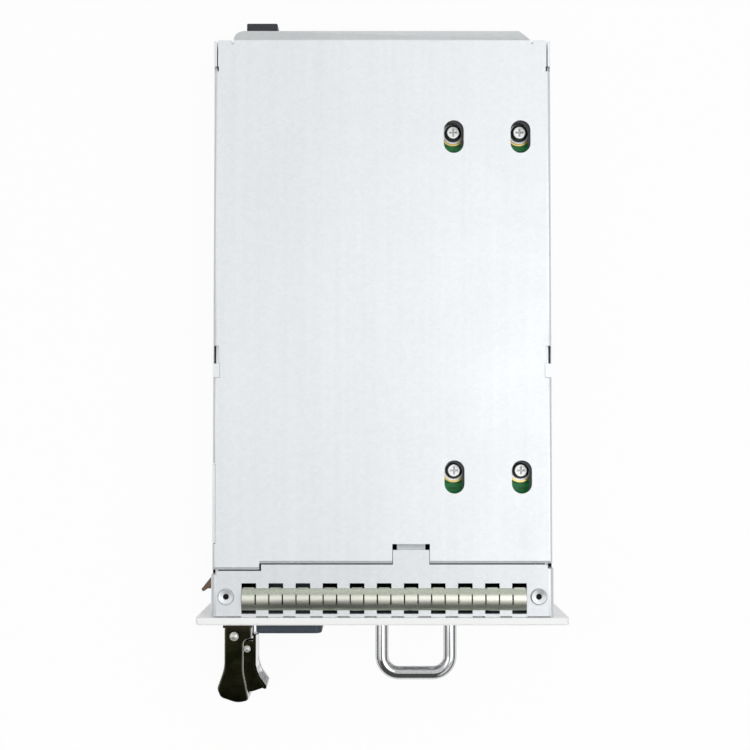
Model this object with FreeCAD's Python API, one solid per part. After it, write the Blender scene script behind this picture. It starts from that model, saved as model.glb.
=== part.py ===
import FreeCAD
import Part
import math
import os

# Plug-in power-supply module: a sheet-metal case behind a plain faceplate, with an ejector lever,
# a pull handle and a mains inlet in front, and a blind-mate connector at the rear.
# Millimetres. X runs across the module, +Y to the rear, +Z up towards the cover.
# The origin is the middle of the tray's underside.

# Case
body_length = 204.5
body_height = 39.6
cover_width = 119.8
sheet = 1.0
bend = 1.3
slip = 0.1
cover_flange = 12.0
film_thickness = 0.35

# Faceplate
plate_lip = 5.0
plate_overhang = 2.0
plate_thickness = 2.6
plate_corner = 1.2
plate_edge_chamfer = 0.5
plate_screw_inset = 4.8
plate_screw_height = 5.6
plate_screw_sink = 1.5
plate_slot_corner = 1.0

# Collar behind the faceplate
collar_length = 18.4
collar_sheet = 1.2
collar_gap = 0.3
collar_bend = 1.9
collar_flange = 7.5
seam_gap = 0.4
cover_tongue_reach = 2.2
cover_tongue_width = 16.6
lock_tab_middle = 10.1
step_slit = 0.7
front_slope = 0.9
front_drop = 0.45
lock_tab_width = 12.8
lock_tab_reach = 4.7
lock_relief = 1.6
lock_slope = 2.1
lock_tuck = 3.0
relief = 1.4

# Contact fingers
finger_pitch = 4.75
finger_end_gap = 10.0
finger_slit = 0.5
finger_slit_length = 3.6
finger_strip_width = 7.7
finger_strip_middle = 6.3
finger_strip_offset = 0.6
finger_rise = 1.3
finger_metal = 0.3
finger_slot_width = 5.15
finger_slot_end = 11.9

# Blind rivets
rivet_inset = 5.4
rivet_distance = 7.2
rivet_head = 5.9
rivet_shank = 3.0
rivet_dome = 0.75
rivet_rim = 0.3
rivet_bore = 2.1

# Cover cut-outs and rear edge
ear_length = 9.8
lip_width = 106.0
lip_reach = 4.0
lip_drop = 2.4
lip_corner = 3.6
lip_bend = 3.0
hook_distance = 83.8
hook_window = 11.6
hook_length = 4.9
hook_reach = 2.4
flange_skin = 0.4
notch_depth = 6.0
side_tab_distance = 26.0
side_tab_length = 27.5
side_tab_height = 10.0
cover_screw = 3.0
cover_screw_head = 5.2
cover_screw_length = 3.1
cover_screw_inset = 44.0
access_width = 7.1
access_length = 11.7
access_lead = 2.2

# Circuit board on its pillars
board_thickness = 1.6
board_depth = 6.9
board_margin = 1.6
board_front = 28.0
board_rear = 5.2
fixing_edge = 10.75
fixing_pitch_x = 23.75
fixing_front = 51.3
fixing_rear = 32.4
far_edge = 9.9
pillar_flats = 5.0
pillar_stub = 4.2
fixing_screw = 2.5
fixing_head = 4.6
fixing_head_height = 1.7
fixing_screw_length = 9.0
spring_washer_width = 6.0
spring_washer_thickness = 0.7
flat_washer_width = 7.3
flat_washer_thickness = 0.5
pad_width = 8.6
pad_thickness = 0.1

# Power parts under the board
capacitor_width = 22.0
capacitor_height = 26.0
small_capacitor_width = 10.0
small_capacitor_height = 20.0
core_length = 32.0
core_width = 12.0
core_height = 26.0
core_leg = 8.0
winding_wall = 4.6
winding_corner = 3.0
sink_length = 96.0
sink_height = 25.0
sink_base = 2.5
sink_fin = 1.5
sink_fin_reach = 5.5
sink_fin_count = 5
transistor_width = 15.0
transistor_height = 19.0
transistor_thickness = 4.6
transistor_gap = 10.0
choke_width = 24.0
choke_bore = 10.0
choke_depth = 11.0
choke_round = 2.0
part_gap = 2.0

# Mains inlet
inlet_edge = 26.8
inlet_width = 23.4
inlet_height = 31.0
inlet_bezel = 3.7
inlet_corner = 2.5
inlet_bezel_round = 0.8
inlet_body_length = 15.5
inlet_wall = 2.3
inlet_cavity_depth = 16.5
inlet_cavity_width = 15.8
inlet_cavity_height = 24.2
inlet_cavity_chamfer = 4.0
inlet_cavity_corner = 1.0
inlet_pin_length = 14.5
inlet_pin_width = 4.0
inlet_pin_thickness = 2.0
inlet_pin_pitch = 14.0
inlet_pin_offset = 2.0
inlet_pin_tail = 6.0

# Pull handle
handle_middle = 12.3
handle_width = 29.7
handle_bar = 4.9
handle_reach = 22.45
handle_bend = 6.2
handle_screw = 3.0
handle_screw_head = 5.5
handle_screw_head_height = 2.0
handle_screw_depth = 7.0

# Ejector lever, drawn about its pivot
pivot_edge = 6.5
pivot_ahead = 6.15
lever_thickness = 10.4
lever_wall = 2.7
lever_lip = 1.3
lever_left = 3.7
lever_right = 6.4
lever_grip = 24.1
flare_start = 11.4
flare_reach = 6.3
flare_middle = 18.8
heel_x = 5.0
heel_y = 22.0
belly_x = 1.2
seam_x = 3.45
seam_top = 1.5
seam_bow = 12.6
seam_end_x = 5.6
seam_end_y = 23.1
head_under = 0.8
head_drop = 1.6
head_round = 2.2
sweep_round = 14.0
flare_round = 2.6
belly_round = 7.0
seam_round = 1.8
small_round = 0.4
channel_top = 1.2
channel_end = 20.8
fork_depth = 3.8
lever_round = 0.8
lever_travel = 28.0
pivot_pin = 3.2
pivot_pin_head = 0.35
trigger_x = 4.55
trigger_y = -4.65
trigger_pin = 2.5
trigger_ear = 1.85
trigger_wall = 1.4
trigger_web = 3.3
trigger_top = 1.8
trigger_hidden = 1.2
trigger_right = 6.95
trigger_waist = 11.0
trigger_knee_x = 8.1
trigger_knee_y = 14.4
trigger_tip_x = 10.75
trigger_tip_y = 18.0
trigger_end = 20.0
trigger_proud = 0.75
trigger_nose = 0.6
pad_half = 1.3
pad_bulge = 0.8
pad_rise = 2.0
toe_fall = 1.1
web_bite = 0.3
channel_wall = 0.6
running_gap = 0.05
side_gap = 0.2
free_gap = 0.4
claw_reach = 12.0
claw_face = 17.2
claw_nose = 1.1
claw_slope_y = 25.2
claw_top_x = 5.4
claw_round = 1.5
claw_blunt = 0.8
arm_root = 3.0
arm_shoulder = 9.0
arm_end_x = 1.4
arm_end_y = 22.0
arm_round = 2.0
arm_left = 4.1
arm_right = 1.2
spring_strip = 0.4
spring_width = 3.6
spring_start = 10.0
spring_end = 16.2
spring_apex_x = 6.3
spring_apex_y = 13.4
spring_foot = 0.6
bracket_step = 2.6
bracket_screw = 2.0
bracket_screw_left = -1.8
bracket_screw_right = 4.2
bracket_screw_depth = 3.0

# Lamps in the faceplate
lamp_width = 3.0
lamp_pitch = 6.0
lamp_edge = 10.9
lamp_length = 6.0
lamp_proud = 0.5

# Air holes
vent_flats = 4.2
vent_pitch = 5.6
front_vent_left = -15.0
front_vent_columns = 11
rear_vent_left = -26.0
rear_vent_columns = 14
vent_rows = 5

# Rear connector
plug_edge = 16.4
plug_width = 11.1
plug_height = 18.0
plug_reach = 8.5
plug_board_hold = 14.0
plug_wall = 2.2
plug_corner = 0.5
plug_rows = 5
plug_columns = 3
plug_cell = 1.7
plug_cell_pitch = 2.8
plug_cell_depth = 7.0
contact_width = 0.9
contact_tail = 3.0

# Tolerance for picking edges
tiny = 1e-4

# Places worked out from the sizes above
front = -body_length / 2
rear = body_length / 2
plate_front = front - plate_thickness
cover_half = cover_width / 2
cover_tongue_edge = cover_tongue_width - cover_half
pivot_x = pivot_edge - cover_half
inlet_middle = inlet_edge - cover_half
plug_middle = plug_edge - cover_half
lamp_x = cover_half - lamp_edge
fixing_column = cover_half - fixing_edge - fixing_pitch_x
far_column = far_edge - cover_half
tray_half = cover_half - sheet - slip
collar_inner = tray_half + collar_gap
collar_half = collar_inner + collar_sheet
cover_under = body_height - sheet
collar_top = cover_under + collar_sheet
plate_width = 2 * (collar_half + plate_lip)
middle_z = body_height / 2
cover_front = front + collar_length + seam_gap
ear_front = rear - ear_length
board_top = body_height - board_depth
board_under = board_top - board_thickness
lip_left = -lip_width / 2
finger_count = 2 * int((collar_half - finger_end_gap) / finger_pitch - 0.5) + 1
finger_left = -finger_count * finger_pitch / 2 + finger_strip_offset
fixing_columns = [fixing_column, fixing_column + fixing_pitch_x]
fixing_rows = [front + fixing_front, rear - fixing_rear]
access_points = [(x, y - access_lead) for x in fixing_columns for y in fixing_rows]
fixing_points = [(x, y) for x in fixing_columns + [far_column] for y in fixing_rows]
rivet_y = front + rivet_distance
rivet_x = collar_half - rivet_inset
pivot_y = plate_front - pivot_ahead
lever_low = middle_z - lever_thickness / 2
lever_high = middle_z + lever_thickness / 2
tongue_half = lever_thickness / 2 - lever_wall - side_gap
trigger_half = lever_thickness / 2 - lever_lip - side_gap
ear_half = trigger_half - trigger_wall - side_gap
plate_screws = [(side * (collar_half - plate_screw_inset), height)
                for side in (-1, 1) for height in (plate_screw_height, body_height - plate_screw_height)]
handle_legs = [handle_middle + side * (handle_width - handle_bar) / 2 for side in (-1, 1)]
cover_screw_rows = [front + collar_length + cover_screw_inset, rear - cover_screw_inset]
tray_rear = rear - seam_gap
lever_swing = math.radians(lever_travel)
lever_slot_right = arm_right / math.cos(lever_swing) + (pivot_ahead + plate_thickness) * math.tan(lever_swing)

up = FreeCAD.Vector(0, 0, 1)
back = FreeCAD.Vector(0, 1, 0)
right = FreeCAD.Vector(1, 0, 0)


def box(x, y, z):
    """Block between low and high values on each axis."""
    return Part.makeBox(x[1] - x[0], y[1] - y[0], z[1] - z[0], FreeCAD.Vector(x[0], y[0], z[0]))


def rod(width, start, direction, length):
    """Round bar of a given diameter from a start point."""
    return Part.makeCylinder(width / 2, length, FreeCAD.Vector(*start), direction)


def place(plane, u, w, level):
    """Point with two coordinates on a plane at a level."""
    points = {"xy": (u, w, level), "xz": (u, level, w), "yz": (level, u, w)}
    return FreeCAD.Vector(*points[plane])


def profile(corners, plane, level):
    """Flat face whose corners are (u, w) or, where they are rounded, (u, w, radius)."""
    starts = []
    edges = []
    count = len(corners)
    for index in range(count):
        here = FreeCAD.Vector(corners[index][0], corners[index][1], 0)
        radius = corners[index][2] if len(corners[index]) > 2 else 0
        before = FreeCAD.Vector(corners[index - 1][0], corners[index - 1][1], 0) - here
        after = FreeCAD.Vector(corners[(index + 1) % count][0], corners[(index + 1) % count][1], 0) - here
        before.normalize()
        after.normalize()
        if radius == 0:
            starts.append((here, here, None))
            continue
        half = before.getAngle(after) / 2
        bisector = before + after
        bisector.normalize()
        reach = radius / math.tan(half)
        middle = here + bisector * (radius / math.sin(half) - radius)
        starts.append((here + before * reach, here + after * reach, middle))
    for index in range(count):
        first, last, middle = starts[index]
        following = starts[(index + 1) % count][0]
        if middle is not None:
            arc = Part.Arc(place(plane, first.x, first.y, level), place(plane, middle.x, middle.y, level),
                           place(plane, last.x, last.y, level))
            edges.append(arc.toShape())
        if last.distanceToPoint(following) > tiny:
            line = Part.LineSegment(place(plane, last.x, last.y, level),
                                    place(plane, following.x, following.y, level))
            edges.append(line.toShape())
    return Part.Face(Part.Wire(edges))


def slab(corners, low, high):
    """Plate with an outline seen from above, between two heights."""
    return profile(corners, "xy", low).extrude(up * (high - low))


def panel(corners, y_low, y_high):
    """Plate with an outline seen from the front, between two places along the module."""
    return profile(corners, "xz", y_low).extrude(back * (y_high - y_low))


def strip(corners, x_low, x_high):
    """Bar with an outline seen from the side, between two places across the module."""
    return profile(corners, "yz", x_low).extrude(right * (x_high - x_low))


def frame_corners(x, z, radius):
    """Corners of a rectangle with rounded corners."""
    return [(x[0], z[0], radius), (x[1], z[0], radius), (x[1], z[1], radius), (x[0], z[1], radius)]


def obround(x, y, width, length, low, high):
    """Slot cutter with round ends that runs along the module."""
    half = width / 2
    corners = frame_corners((x - half, x + half), (y - length / 2, y + length / 2), half - tiny)
    return slab(corners, low, high)


def hexagon(flats, u, w):
    """Corners of a hexagon with a point at the top."""
    radius = flats / math.sqrt(3)
    angles = [math.radians(30 + 60 * step) for step in range(6)]
    return [(u + radius * math.cos(angle), w + radius * math.sin(angle)) for angle in angles]


def vent_cutters(left, columns, y_low, y_high, keep_clear):
    """Staggered hexagonal air holes, left out where they come too near to a fixing."""
    cutters = []
    for row in range(vent_rows):
        shift = vent_pitch / 2 if row % 2 else 0
        height = middle_z + (row - (vent_rows - 1) / 2) * vent_pitch * math.sqrt(3) / 2
        for column in range(columns):
            x = left + shift + column * vent_pitch
            clear = all(math.hypot(x - other[0], height - other[1]) > other[2] + vent_flats / 2
                        for other in keep_clear)
            if clear:
                cutters.append(panel(hexagon(vent_flats, x, height), y_low, y_high))
    return cutters


def turned(points, centre, axis):
    """Body of revolution from (radius, height) points about an axis from a centre."""
    face = profile(points, "xz", 0)
    solid = face.revolve(FreeCAD.Vector(0, 0, 0), up, 360)
    solid.Placement = FreeCAD.Placement(FreeCAD.Vector(*centre), FreeCAD.Rotation(up, axis))
    return solid


def countersink(width, head, depth, length, centre, axis):
    """Flat-head screw shape with its head's face at the centre and its shank along the axis."""
    points = [(0, 0), (head / 2, 0), (width / 2, depth), (width / 2, length), (0, length)]
    return turned(points, centre, axis)


def inlet_block(clearance):
    """Body of the mains inlet behind its bezel, or the hole that takes it."""
    half_x = inlet_cavity_width / 2 + inlet_wall + clearance
    half_z = inlet_cavity_height / 2 + inlet_wall + clearance
    corners = frame_corners((inlet_middle - half_x, inlet_middle + half_x),
                            (middle_z - half_z, middle_z + half_z), inlet_wall)
    return panel(corners, plate_front, plate_front + inlet_body_length)


def faceplate():
    """White front plate with the openings for everything that passes through it."""
    high = body_height + plate_overhang
    corners = frame_corners((-plate_width / 2, plate_width / 2), (-plate_overhang, high), plate_corner)
    plate = panel(corners, plate_front, front)
    edges = [edge for edge in plate.Edges if abs(edge.BoundBox.YMax - plate_front) < tiny]
    plate = plate.makeChamfer(plate_edge_chamfer, edges)
    through = (plate_front - 1, front + 1)
    cutters = [inlet_block(slip)]
    slot_x = (pivot_x - arm_left - free_gap, pivot_x + lever_slot_right + 3 * free_gap)
    for low in (lever_low, lever_high - lever_wall):
        slot_z = (low - side_gap, low + lever_wall + side_gap)
        cutters.append(panel(frame_corners(slot_x, slot_z, plate_slot_corner), *through))
    depth = through[1] - through[0]
    for x in handle_legs:
        cutters.append(rod(handle_screw + 2 * slip, (x, through[0], middle_z), back, depth))
    for x in bracket_screw_places():
        cutters.append(rod(bracket_screw + 2 * slip, (x, through[0], middle_z), back, depth))
    for x, z in plate_screws:
        cutters.append(countersink(cover_screw + 2 * slip, cover_screw_head + 2 * slip, plate_screw_sink,
                                   plate_thickness + 1, (x, plate_front, z), back))
    for z in lamp_heights():
        cutters.append(rod(lamp_width + 2 * slip, (lamp_x, through[0], z), back, through[1] - through[0]))
    keep_clear = [(x, middle_z, handle_bar) for x in handle_legs]
    cutters += vent_cutters(front_vent_left, front_vent_columns, *through, keep_clear)
    return plate.cut(cutters)


def channel(half, low, high, radius, metal, y_low, y_high):
    """Bent sheet with two walls, open towards the lower or the higher of two heights."""
    inner = half - metal
    step = metal if high > low else -metal
    inner_radius = max(radius - metal, 0)
    corners = [(-half, low, radius), (half, low, radius), (half, high), (inner, high),
               (inner, low + step, inner_radius), (-inner, low + step, inner_radius), (-inner, high),
               (-half, high)]
    return panel(corners, y_low, y_high)


def base_tray():
    """Tray with two walls, a perforated rear wall and the tabs that hold the cover."""
    wall_top = cover_under - seam_gap
    wall_rear = tray_rear - sheet - seam_gap
    tray = channel(tray_half, 0, wall_top, bend, sheet, front, wall_rear)
    rear_half = tray_half - sheet - slip
    rear_low = tray_rear - sheet
    corners = [(wall_rear - bend - sheet, 0), (tray_rear, 0, bend), (tray_rear, wall_top),
               (rear_low, wall_top), (rear_low, sheet), (wall_rear - bend - sheet, sheet)]
    parts = [strip(corners, -rear_half, rear_half)]
    turn_up = [(front, 0), (front + sheet, 0), (front + sheet, collar_flange), (front, collar_flange)]
    parts.append(strip(turn_up, -rear_half + bend, rear_half - bend))
    tab_low = body_height - cover_flange - sheet
    for side in (-1, 1):
        rear_tab = (ear_front + seam_gap, tray_rear)
        parts.append(side_tab(side, rear_tab, tab_low, body_height))
        hook = (front + hook_distance + seam_gap, front + hook_distance + seam_gap + hook_length)
        parts.append(side_tab(side, hook, tab_low, body_height))
        inner = cover_half - hook_reach
        parts.append(box(ordered(side * inner, side * cover_half), hook,
                         (cover_under - seam_gap, body_height)))
    left_tab = (front + side_tab_distance, front + side_tab_distance + side_tab_length)
    parts.append(side_tab(-1, left_tab, body_height - side_tab_height, body_height))
    tray = tray.fuse(parts)
    through = (rear_low - 1, tray_rear + 1)
    cutters = [panel(frame_corners(*plug_window(), slip), *through)]
    cutters += vent_cutters(rear_vent_left, rear_vent_columns, *through, [])
    for side in (-1, 1):
        wall = ordered(side * (tray_half - sheet - slip), side * (tray_half + slip / 2))
        deep = (cover_under - notch_depth, body_height + 1)
        cutters.append(box(wall, (ear_front - relief, tray_rear + 1), deep))
        cutters.append(box(wall, (front + collar_length - relief, cover_front + relief), deep))
    cutters.append(claw_window(tray_half - 2 * sheet, tray_half + slip))
    cutters.append(inlet_block(slip))
    cutters += [rod(pillar_stub + 2 * slip, (x, y, -1), up, sheet + 2) for x, y in fixing_points]
    cutters.append(rod(rivet_shank + 2 * slip, (tray_half - 2 * sheet, rivet_y, side_rivet_height()), right,
                       3 * sheet))
    for side in (-1, 1):
        for y in cover_screw_rows:
            cutters.append(rod(cover_screw + 2 * slip, (side * (tray_half - 2 * sheet), y, cover_screw_height()),
                               right * side, 3 * sheet))
    for x, z in plate_screws:
        cutters.append(rod(cover_screw + 2 * slip, (x, front - 1, z), back, sheet + 2))
    return tray.cut(cutters).removeSplitter()


def ordered(first, second):
    """Two values with the lower one first."""
    return (min(first, second), max(first, second))


def side_tab(side, y, low, high):
    """Stepped tab of a tray wall that stands out flush with the cover's flange."""
    outer = side * cover_half
    inner = side * (tray_half - sheet)
    lower = box(ordered(inner, outer), y, (low, cover_under - notch_depth))
    upper = box(ordered(outer - side * sheet, outer), y, (low, high))
    return lower.fuse(upper)


def cover_screw_height():
    """Height of the screws in the cover's side flanges."""
    return body_height - cover_flange / 2


def side_rivet_height():
    """Height of the rivet in the collar's right wall."""
    return body_height - cover_flange


def plug_window():
    """Spans of the rear connector across and in height."""
    return ((plug_middle - plug_width / 2 - slip, plug_middle + plug_width / 2 + slip),
            (board_under - plug_height - slip, board_under + slip))


def claw_window(inner, outer):
    """Opening in the left walls for the lever's claws."""
    y = (pivot_y + claw_face - claw_nose - free_gap - side_gap, pivot_y + claw_slope_y + 2 * free_gap)
    return box((-outer, -inner), y, (lever_low - free_gap, lever_high + free_gap))


def top_cover():
    """Cover with narrow side flanges, access slots, hook windows and a slanted rear lip."""
    tongue_front = cover_front - cover_tongue_reach
    cover = channel(cover_half, body_height, body_height - cover_flange, bend, sheet, tongue_front, ear_front)
    cover = cover.cut(box((cover_tongue_edge, cover_half + 1), (tongue_front - 1, cover_front),
                          (0, body_height + 1)))
    ear_half = cover_half - sheet - seam_gap
    ears = box((-ear_half, ear_half), (ear_front - 1, rear), (cover_under, body_height))
    cover = cover.fuse([ears, rear_lip()])
    down = (cover_under - cover_flange, body_height + 1)
    cutters = [obround(x, y, access_width, access_length, *down) for x, y in access_points]
    for side in (-1, 1):
        hook_start = front + hook_distance + seam_gap - slip
        hook_room = ordered(side * (cover_half - hook_reach - slip), side * (cover_half + 1))
        cutters.append(box(hook_room, (hook_start, hook_start + hook_length + 2 * slip), down))
        slit = ordered(side * (tray_half - sheet), side * (cover_half - flange_skin))
        cutters.append(box(slit, (hook_start, front + hook_distance + hook_window),
                           (cover_under - notch_depth, body_height + 1)))
        lip_end = side * (lip_width + relief / 2) / 2
        cutters.append(box((lip_end - relief / 4, lip_end + relief / 4),
                           (rear - relief, rear + relief), down))
        corner = side * (cover_half - sheet)
        cutters.append(box((corner - relief / 2, corner + relief / 2),
                           (ear_front - relief, ear_front + seam_gap), (cover_under - sheet, body_height + 1)))
        for y in cover_screw_rows:
            cutters.append(countersink(cover_screw + 2 * slip, cover_screw_head + 2 * slip, sheet, 2 * sheet,
                                       (side * cover_half, y, cover_screw_height()), right * -side))
    tab_y = (front + side_tab_distance - seam_gap, front + side_tab_distance + side_tab_length + seam_gap)
    cutters.append(box((-cover_half - 1, -cover_half + sheet + slip), tab_y, down))
    cutters.append(front_slope_cutter(-cover_half - 1, cover_tongue_edge, tongue_front))
    cutters.append(front_slope_cutter(cover_tongue_edge, cover_half + 1, cover_front))
    lock_half = lock_tab_width / 2 + seam_gap / 2
    cutters.append(box((lock_tab_middle - lock_half, lock_tab_middle + lock_half),
                       (tongue_front, cover_front + lock_tab_reach + lock_slope), down))
    return cover.cut(cutters).fuse(lock_tongue(lock_half - lock_relief)).removeSplitter()


def lock_tongue(half):
    """Tongue of the cover that slopes down and runs under the collar's lock tab."""
    low = cover_under - slip
    near = cover_front + lock_tab_reach
    far = near + lock_slope
    corners = [(far + sheet, body_height), (far, body_height, sheet), (near, low, sheet),
               (near - lock_tuck, low), (near - lock_tuck, low - sheet), (near + sheet / 4, low - sheet),
               (far + sheet / 4, cover_under), (far + sheet, cover_under)]
    return strip(corners, lock_tab_middle - half, lock_tab_middle + half)


def front_slope_cutter(left, right_end, edge):
    """Wedge that slopes the cover's front edge down towards the collar."""
    low = body_height - front_drop
    corners = [(edge - 1, low), (edge, low), (edge + front_slope, body_height),
               (edge + front_slope, body_height + 1), (edge - 1, body_height + 1)]
    return strip(corners, left, right_end)


def rear_lip():
    """Lip along the cover's rear edge, bent down, with one round and one cut corner."""
    slope = math.hypot(lip_reach, lip_drop)
    across = (sheet * lip_drop / slope, sheet * lip_reach / slope)
    corners = [(rear - relief, body_height), (rear, body_height, lip_bend),
               (rear + lip_reach, body_height - lip_drop),
               (rear + lip_reach - across[0], body_height - lip_drop - across[1]),
               (rear - across[0] / 2, cover_under),
               (rear - relief, cover_under)]
    lip = strip(corners, lip_left, -lip_left)
    plan = [(lip_left, rear - relief), (-lip_left, rear - relief), (-lip_left, rear),
            (-lip_left - lip_reach, rear + lip_reach), (lip_left, rear + lip_reach, lip_corner)]
    return lip.common(slab(plan, 0, body_height + 1))


def front_collar():
    """Collar that carries the contact fingers and backs the faceplate."""
    collar = channel(collar_half, collar_top, 0, collar_bend, collar_sheet, front, front + collar_length)
    inner = collar_inner
    frame = box((-inner, inner), (front, front + collar_sheet), (0, cover_under))
    opening = box((-inner + collar_flange, inner - collar_flange), (front - 1, front + 2),
                  (-1, cover_under - collar_flange))
    frame = frame.cut([opening, box((-inner, inner), (front - 1, front + 2), (-1, collar_flange + sheet)),
                       box((-tray_half - slip, -inner + collar_flange + 1), (front - 1, front + 2),
                           (-1, lever_high + 1))])
    walls = [box(ordered(side * (tray_half - sheet - slip), side * (tray_half + slip)),
                 (front - 1, front + 2), (0, cover_under - slip / 2)) for side in (-1, 1)]
    frame = frame.cut(walls)
    lock_half = lock_tab_width / 2
    lock = box((lock_tab_middle - lock_half, lock_tab_middle + lock_half),
               (front + collar_length - 1, cover_front + lock_tab_reach), (cover_under, collar_top))
    collar = collar.fuse([frame, lock])
    down = (cover_under - 1, collar_top + 1)
    tongue_y = (cover_front - cover_tongue_reach - seam_gap, cover_front + 1)
    cutters = [box((-collar_half - 1, cover_tongue_edge + step_slit), tongue_y, (0, collar_top + 1))]
    for side, edge in ((-1, tongue_y[0]), (1, front + collar_length)):
        corner = ordered(side * (collar_inner - sheet), side * (collar_half + 1))
        cutters.append(box(corner, (edge - relief, edge + 1), (cover_under - notch_depth, collar_top + 1)))
    for x in finger_slots():
        span = (x - finger_slot_width / 2, x + finger_slot_width / 2)
        cutters.append(box(span, (front + collar_sheet, front + finger_slot_end), down))
    half_slot = finger_slot_width / 2
    bridges = [-collar_half + relief]
    bridges += [x + side * half_slot for x in finger_slots() for side in (-1, 1)]
    bridges.append(collar_half - relief)
    for start, end in zip(bridges[0::2], bridges[1::2]):
        cutters.append(box((start, end), (front - 1, front + seam_gap), down))
    for side in (-1, 1):
        cutters.append(rod(rivet_shank + 2 * slip, (side * rivet_x, rivet_y, cover_under - 1), up, 4 * sheet))
    cutters.append(rod(rivet_shank + 2 * slip, (tray_half, rivet_y, side_rivet_height()), right, 4 * sheet))
    cutters.append(claw_window(collar_inner - 1, collar_half + 1))
    cutters.append(inlet_block(slip))
    for x, z in plate_screws:
        cutters.append(rod(cover_screw + 2 * slip, (x, front - 1, z), back, collar_sheet + 2))
    return collar.cut(cutters).removeSplitter()


def finger_slots():
    """Middles of the collar slots, one at every second finger."""
    return [finger_left + finger_pitch * (index + 0.5) for index in range(0, finger_count, 2)]


def contact_fingers():
    """Springy strip of arched fingers clipped into the collar's slots."""
    low = front + finger_strip_middle - finger_strip_width / 2
    high = low + finger_strip_width
    top = collar_top + finger_rise
    base = collar_top
    arch = Part.Arc(place("yz", low, base, finger_left), place("yz", (low + high) / 2, top, finger_left),
                    place("yz", high, base, finger_left)).toShape()
    under = Part.Arc(place("yz", high - 2 * finger_metal, base, finger_left),
                     place("yz", (low + high) / 2, top - finger_metal, finger_left),
                     place("yz", low + 2 * finger_metal, base, finger_left)).toShape()
    ends = [Part.makeLine(arch.Vertexes[-1].Point, under.Vertexes[0].Point),
            Part.makeLine(under.Vertexes[-1].Point, arch.Vertexes[0].Point)]
    face = Part.Face(Part.Wire([arch, ends[0], under, ends[1]]))
    fingers = face.extrude(right * (finger_count * finger_pitch))
    middle = (low + high) / 2
    cutters = []
    for index in range(1, finger_count):
        x = finger_left + index * finger_pitch
        cutters.append(box((x - finger_slit / 2, x + finger_slit / 2),
                           (middle - finger_slit_length / 2, middle + finger_slit_length / 2), (base, top + 1)))
    clips = []
    for x in finger_slots():
        span = (x - finger_pitch / 2 + finger_slit, x + finger_pitch / 2 - finger_slit)
        clips.append(box(span, (high - 2 * finger_metal, high + finger_metal),
                         (cover_under, base + finger_metal)))
    return fingers.cut(cutters).fuse(clips).removeSplitter()


def rivet(centre, axis):
    """Blind rivet with a domed head and the hole that its mandrel leaves."""
    head = rivet_head / 2
    end = 3 * sheet
    points = [(rivet_bore / 2, -rivet_rim), ((rivet_bore + head) / 2, -rivet_dome), (head, -rivet_rim), (head, 0),
              (rivet_shank / 2, 0), (rivet_shank / 2, end), (0, end), (0, end - rivet_rim),
              (rivet_bore / 2, end - rivet_rim)]
    return turned(points, centre, axis)


def collar_rivets():
    """Rivets on the collar's top and its right wall."""
    rivets = []
    for side in (-1, 1):
        rivets.append(rivet((side * rivet_x, rivet_y, collar_top), up * -1))
    rivets.append(rivet((collar_half, rivet_y, side_rivet_height()), right * -1))
    return Part.makeCompound(rivets)


def cover_screws():
    """Flat-head screws through the cover's flanges."""
    screws = []
    for side in (-1, 1):
        for y in cover_screw_rows:
            screws.append(countersink(cover_screw, cover_screw_head, sheet, cover_screw_length,
                                      (side * cover_half, y, cover_screw_height()), right * -side))
    return Part.makeCompound(screws)


def faceplate_screws():
    """Flat-head screws that hold the faceplate to the collar and the tray."""
    length = plate_thickness + collar_sheet + 2 * sheet
    return Part.makeCompound([countersink(cover_screw, cover_screw_head, plate_screw_sink, length,
                                          (x, plate_front, z), back) for x, z in plate_screws])


def insulating_film():
    """Film under the cover that keeps the board clear of the metal."""
    half = tray_half - sheet - board_margin
    top = cover_under - slip / 2
    film = box((-half, half), (front + board_front, ear_front), (top - film_thickness, top))
    shift = seam_gap * 2
    return film.cut([obround(x - shift, y - shift, access_width, access_length, 0, body_height)
                     for x, y in access_points])


def circuit_board():
    """Main board, carried on pillars with its soldered side up."""
    half = tray_half - sheet - board_margin
    board = box((-half, half), (front + board_front, rear - board_rear), (board_under, board_top))
    return board.cut([rod(fixing_screw + 2 * slip, (x, y, board_under - 1), up, board_thickness + 2)
                      for x, y in fixing_points])


def washers(width, thickness, low):
    """One ring under each fixing screw."""
    rings = []
    for x, y in fixing_points:
        ring = rod(width, (x, y, low), up, thickness)
        rings.append(ring.cut(rod(fixing_screw + 2 * slip, (x, y, low - 1), up, thickness + 2)))
    return Part.makeCompound(rings)


def board_screws():
    """Screws with a cross recess that hold the board on its pillars."""
    seat = board_top + pad_thickness + flat_washer_thickness + spring_washer_thickness
    screws = []
    for x, y in fixing_points:
        head = fixing_head / 2
        rim = fixing_head_height
        points = [(0, rim), (head * 0.9, rim), (head, rim * 0.8), (head, 0), (fixing_screw / 2, 0),
                  (fixing_screw / 2, -fixing_screw_length), (0, -fixing_screw_length)]
        screw = turned(points, (x, y, seat), up)
        arm = head * 0.62
        groove = fixing_screw / 7
        depth = (seat + rim * 0.45, seat + rim + 1)
        cross = [box((x - arm, x + arm), (y - groove, y + groove), depth),
                 box((x - groove, x + groove), (y - arm, y + arm), depth)]
        screws.append(screw.cut(cross))
    return Part.makeCompound(screws)


def board_pillars():
    """Hexagonal pillars between the tray and the board, each with a stub pressed flush into the tray."""
    pillars = []
    for x, y in fixing_points:
        pillar = slab(hexagon(pillar_flats, x, y), sheet, board_under)
        pillar = pillar.fuse(rod(pillar_stub, (x, y, 0), up, 2 * sheet))
        depth = fixing_screw_length
        pillars.append(pillar.cut(rod(fixing_screw + slip, (x, y, board_under - depth), up, depth + 1)))
    return Part.makeCompound(pillars)


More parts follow.
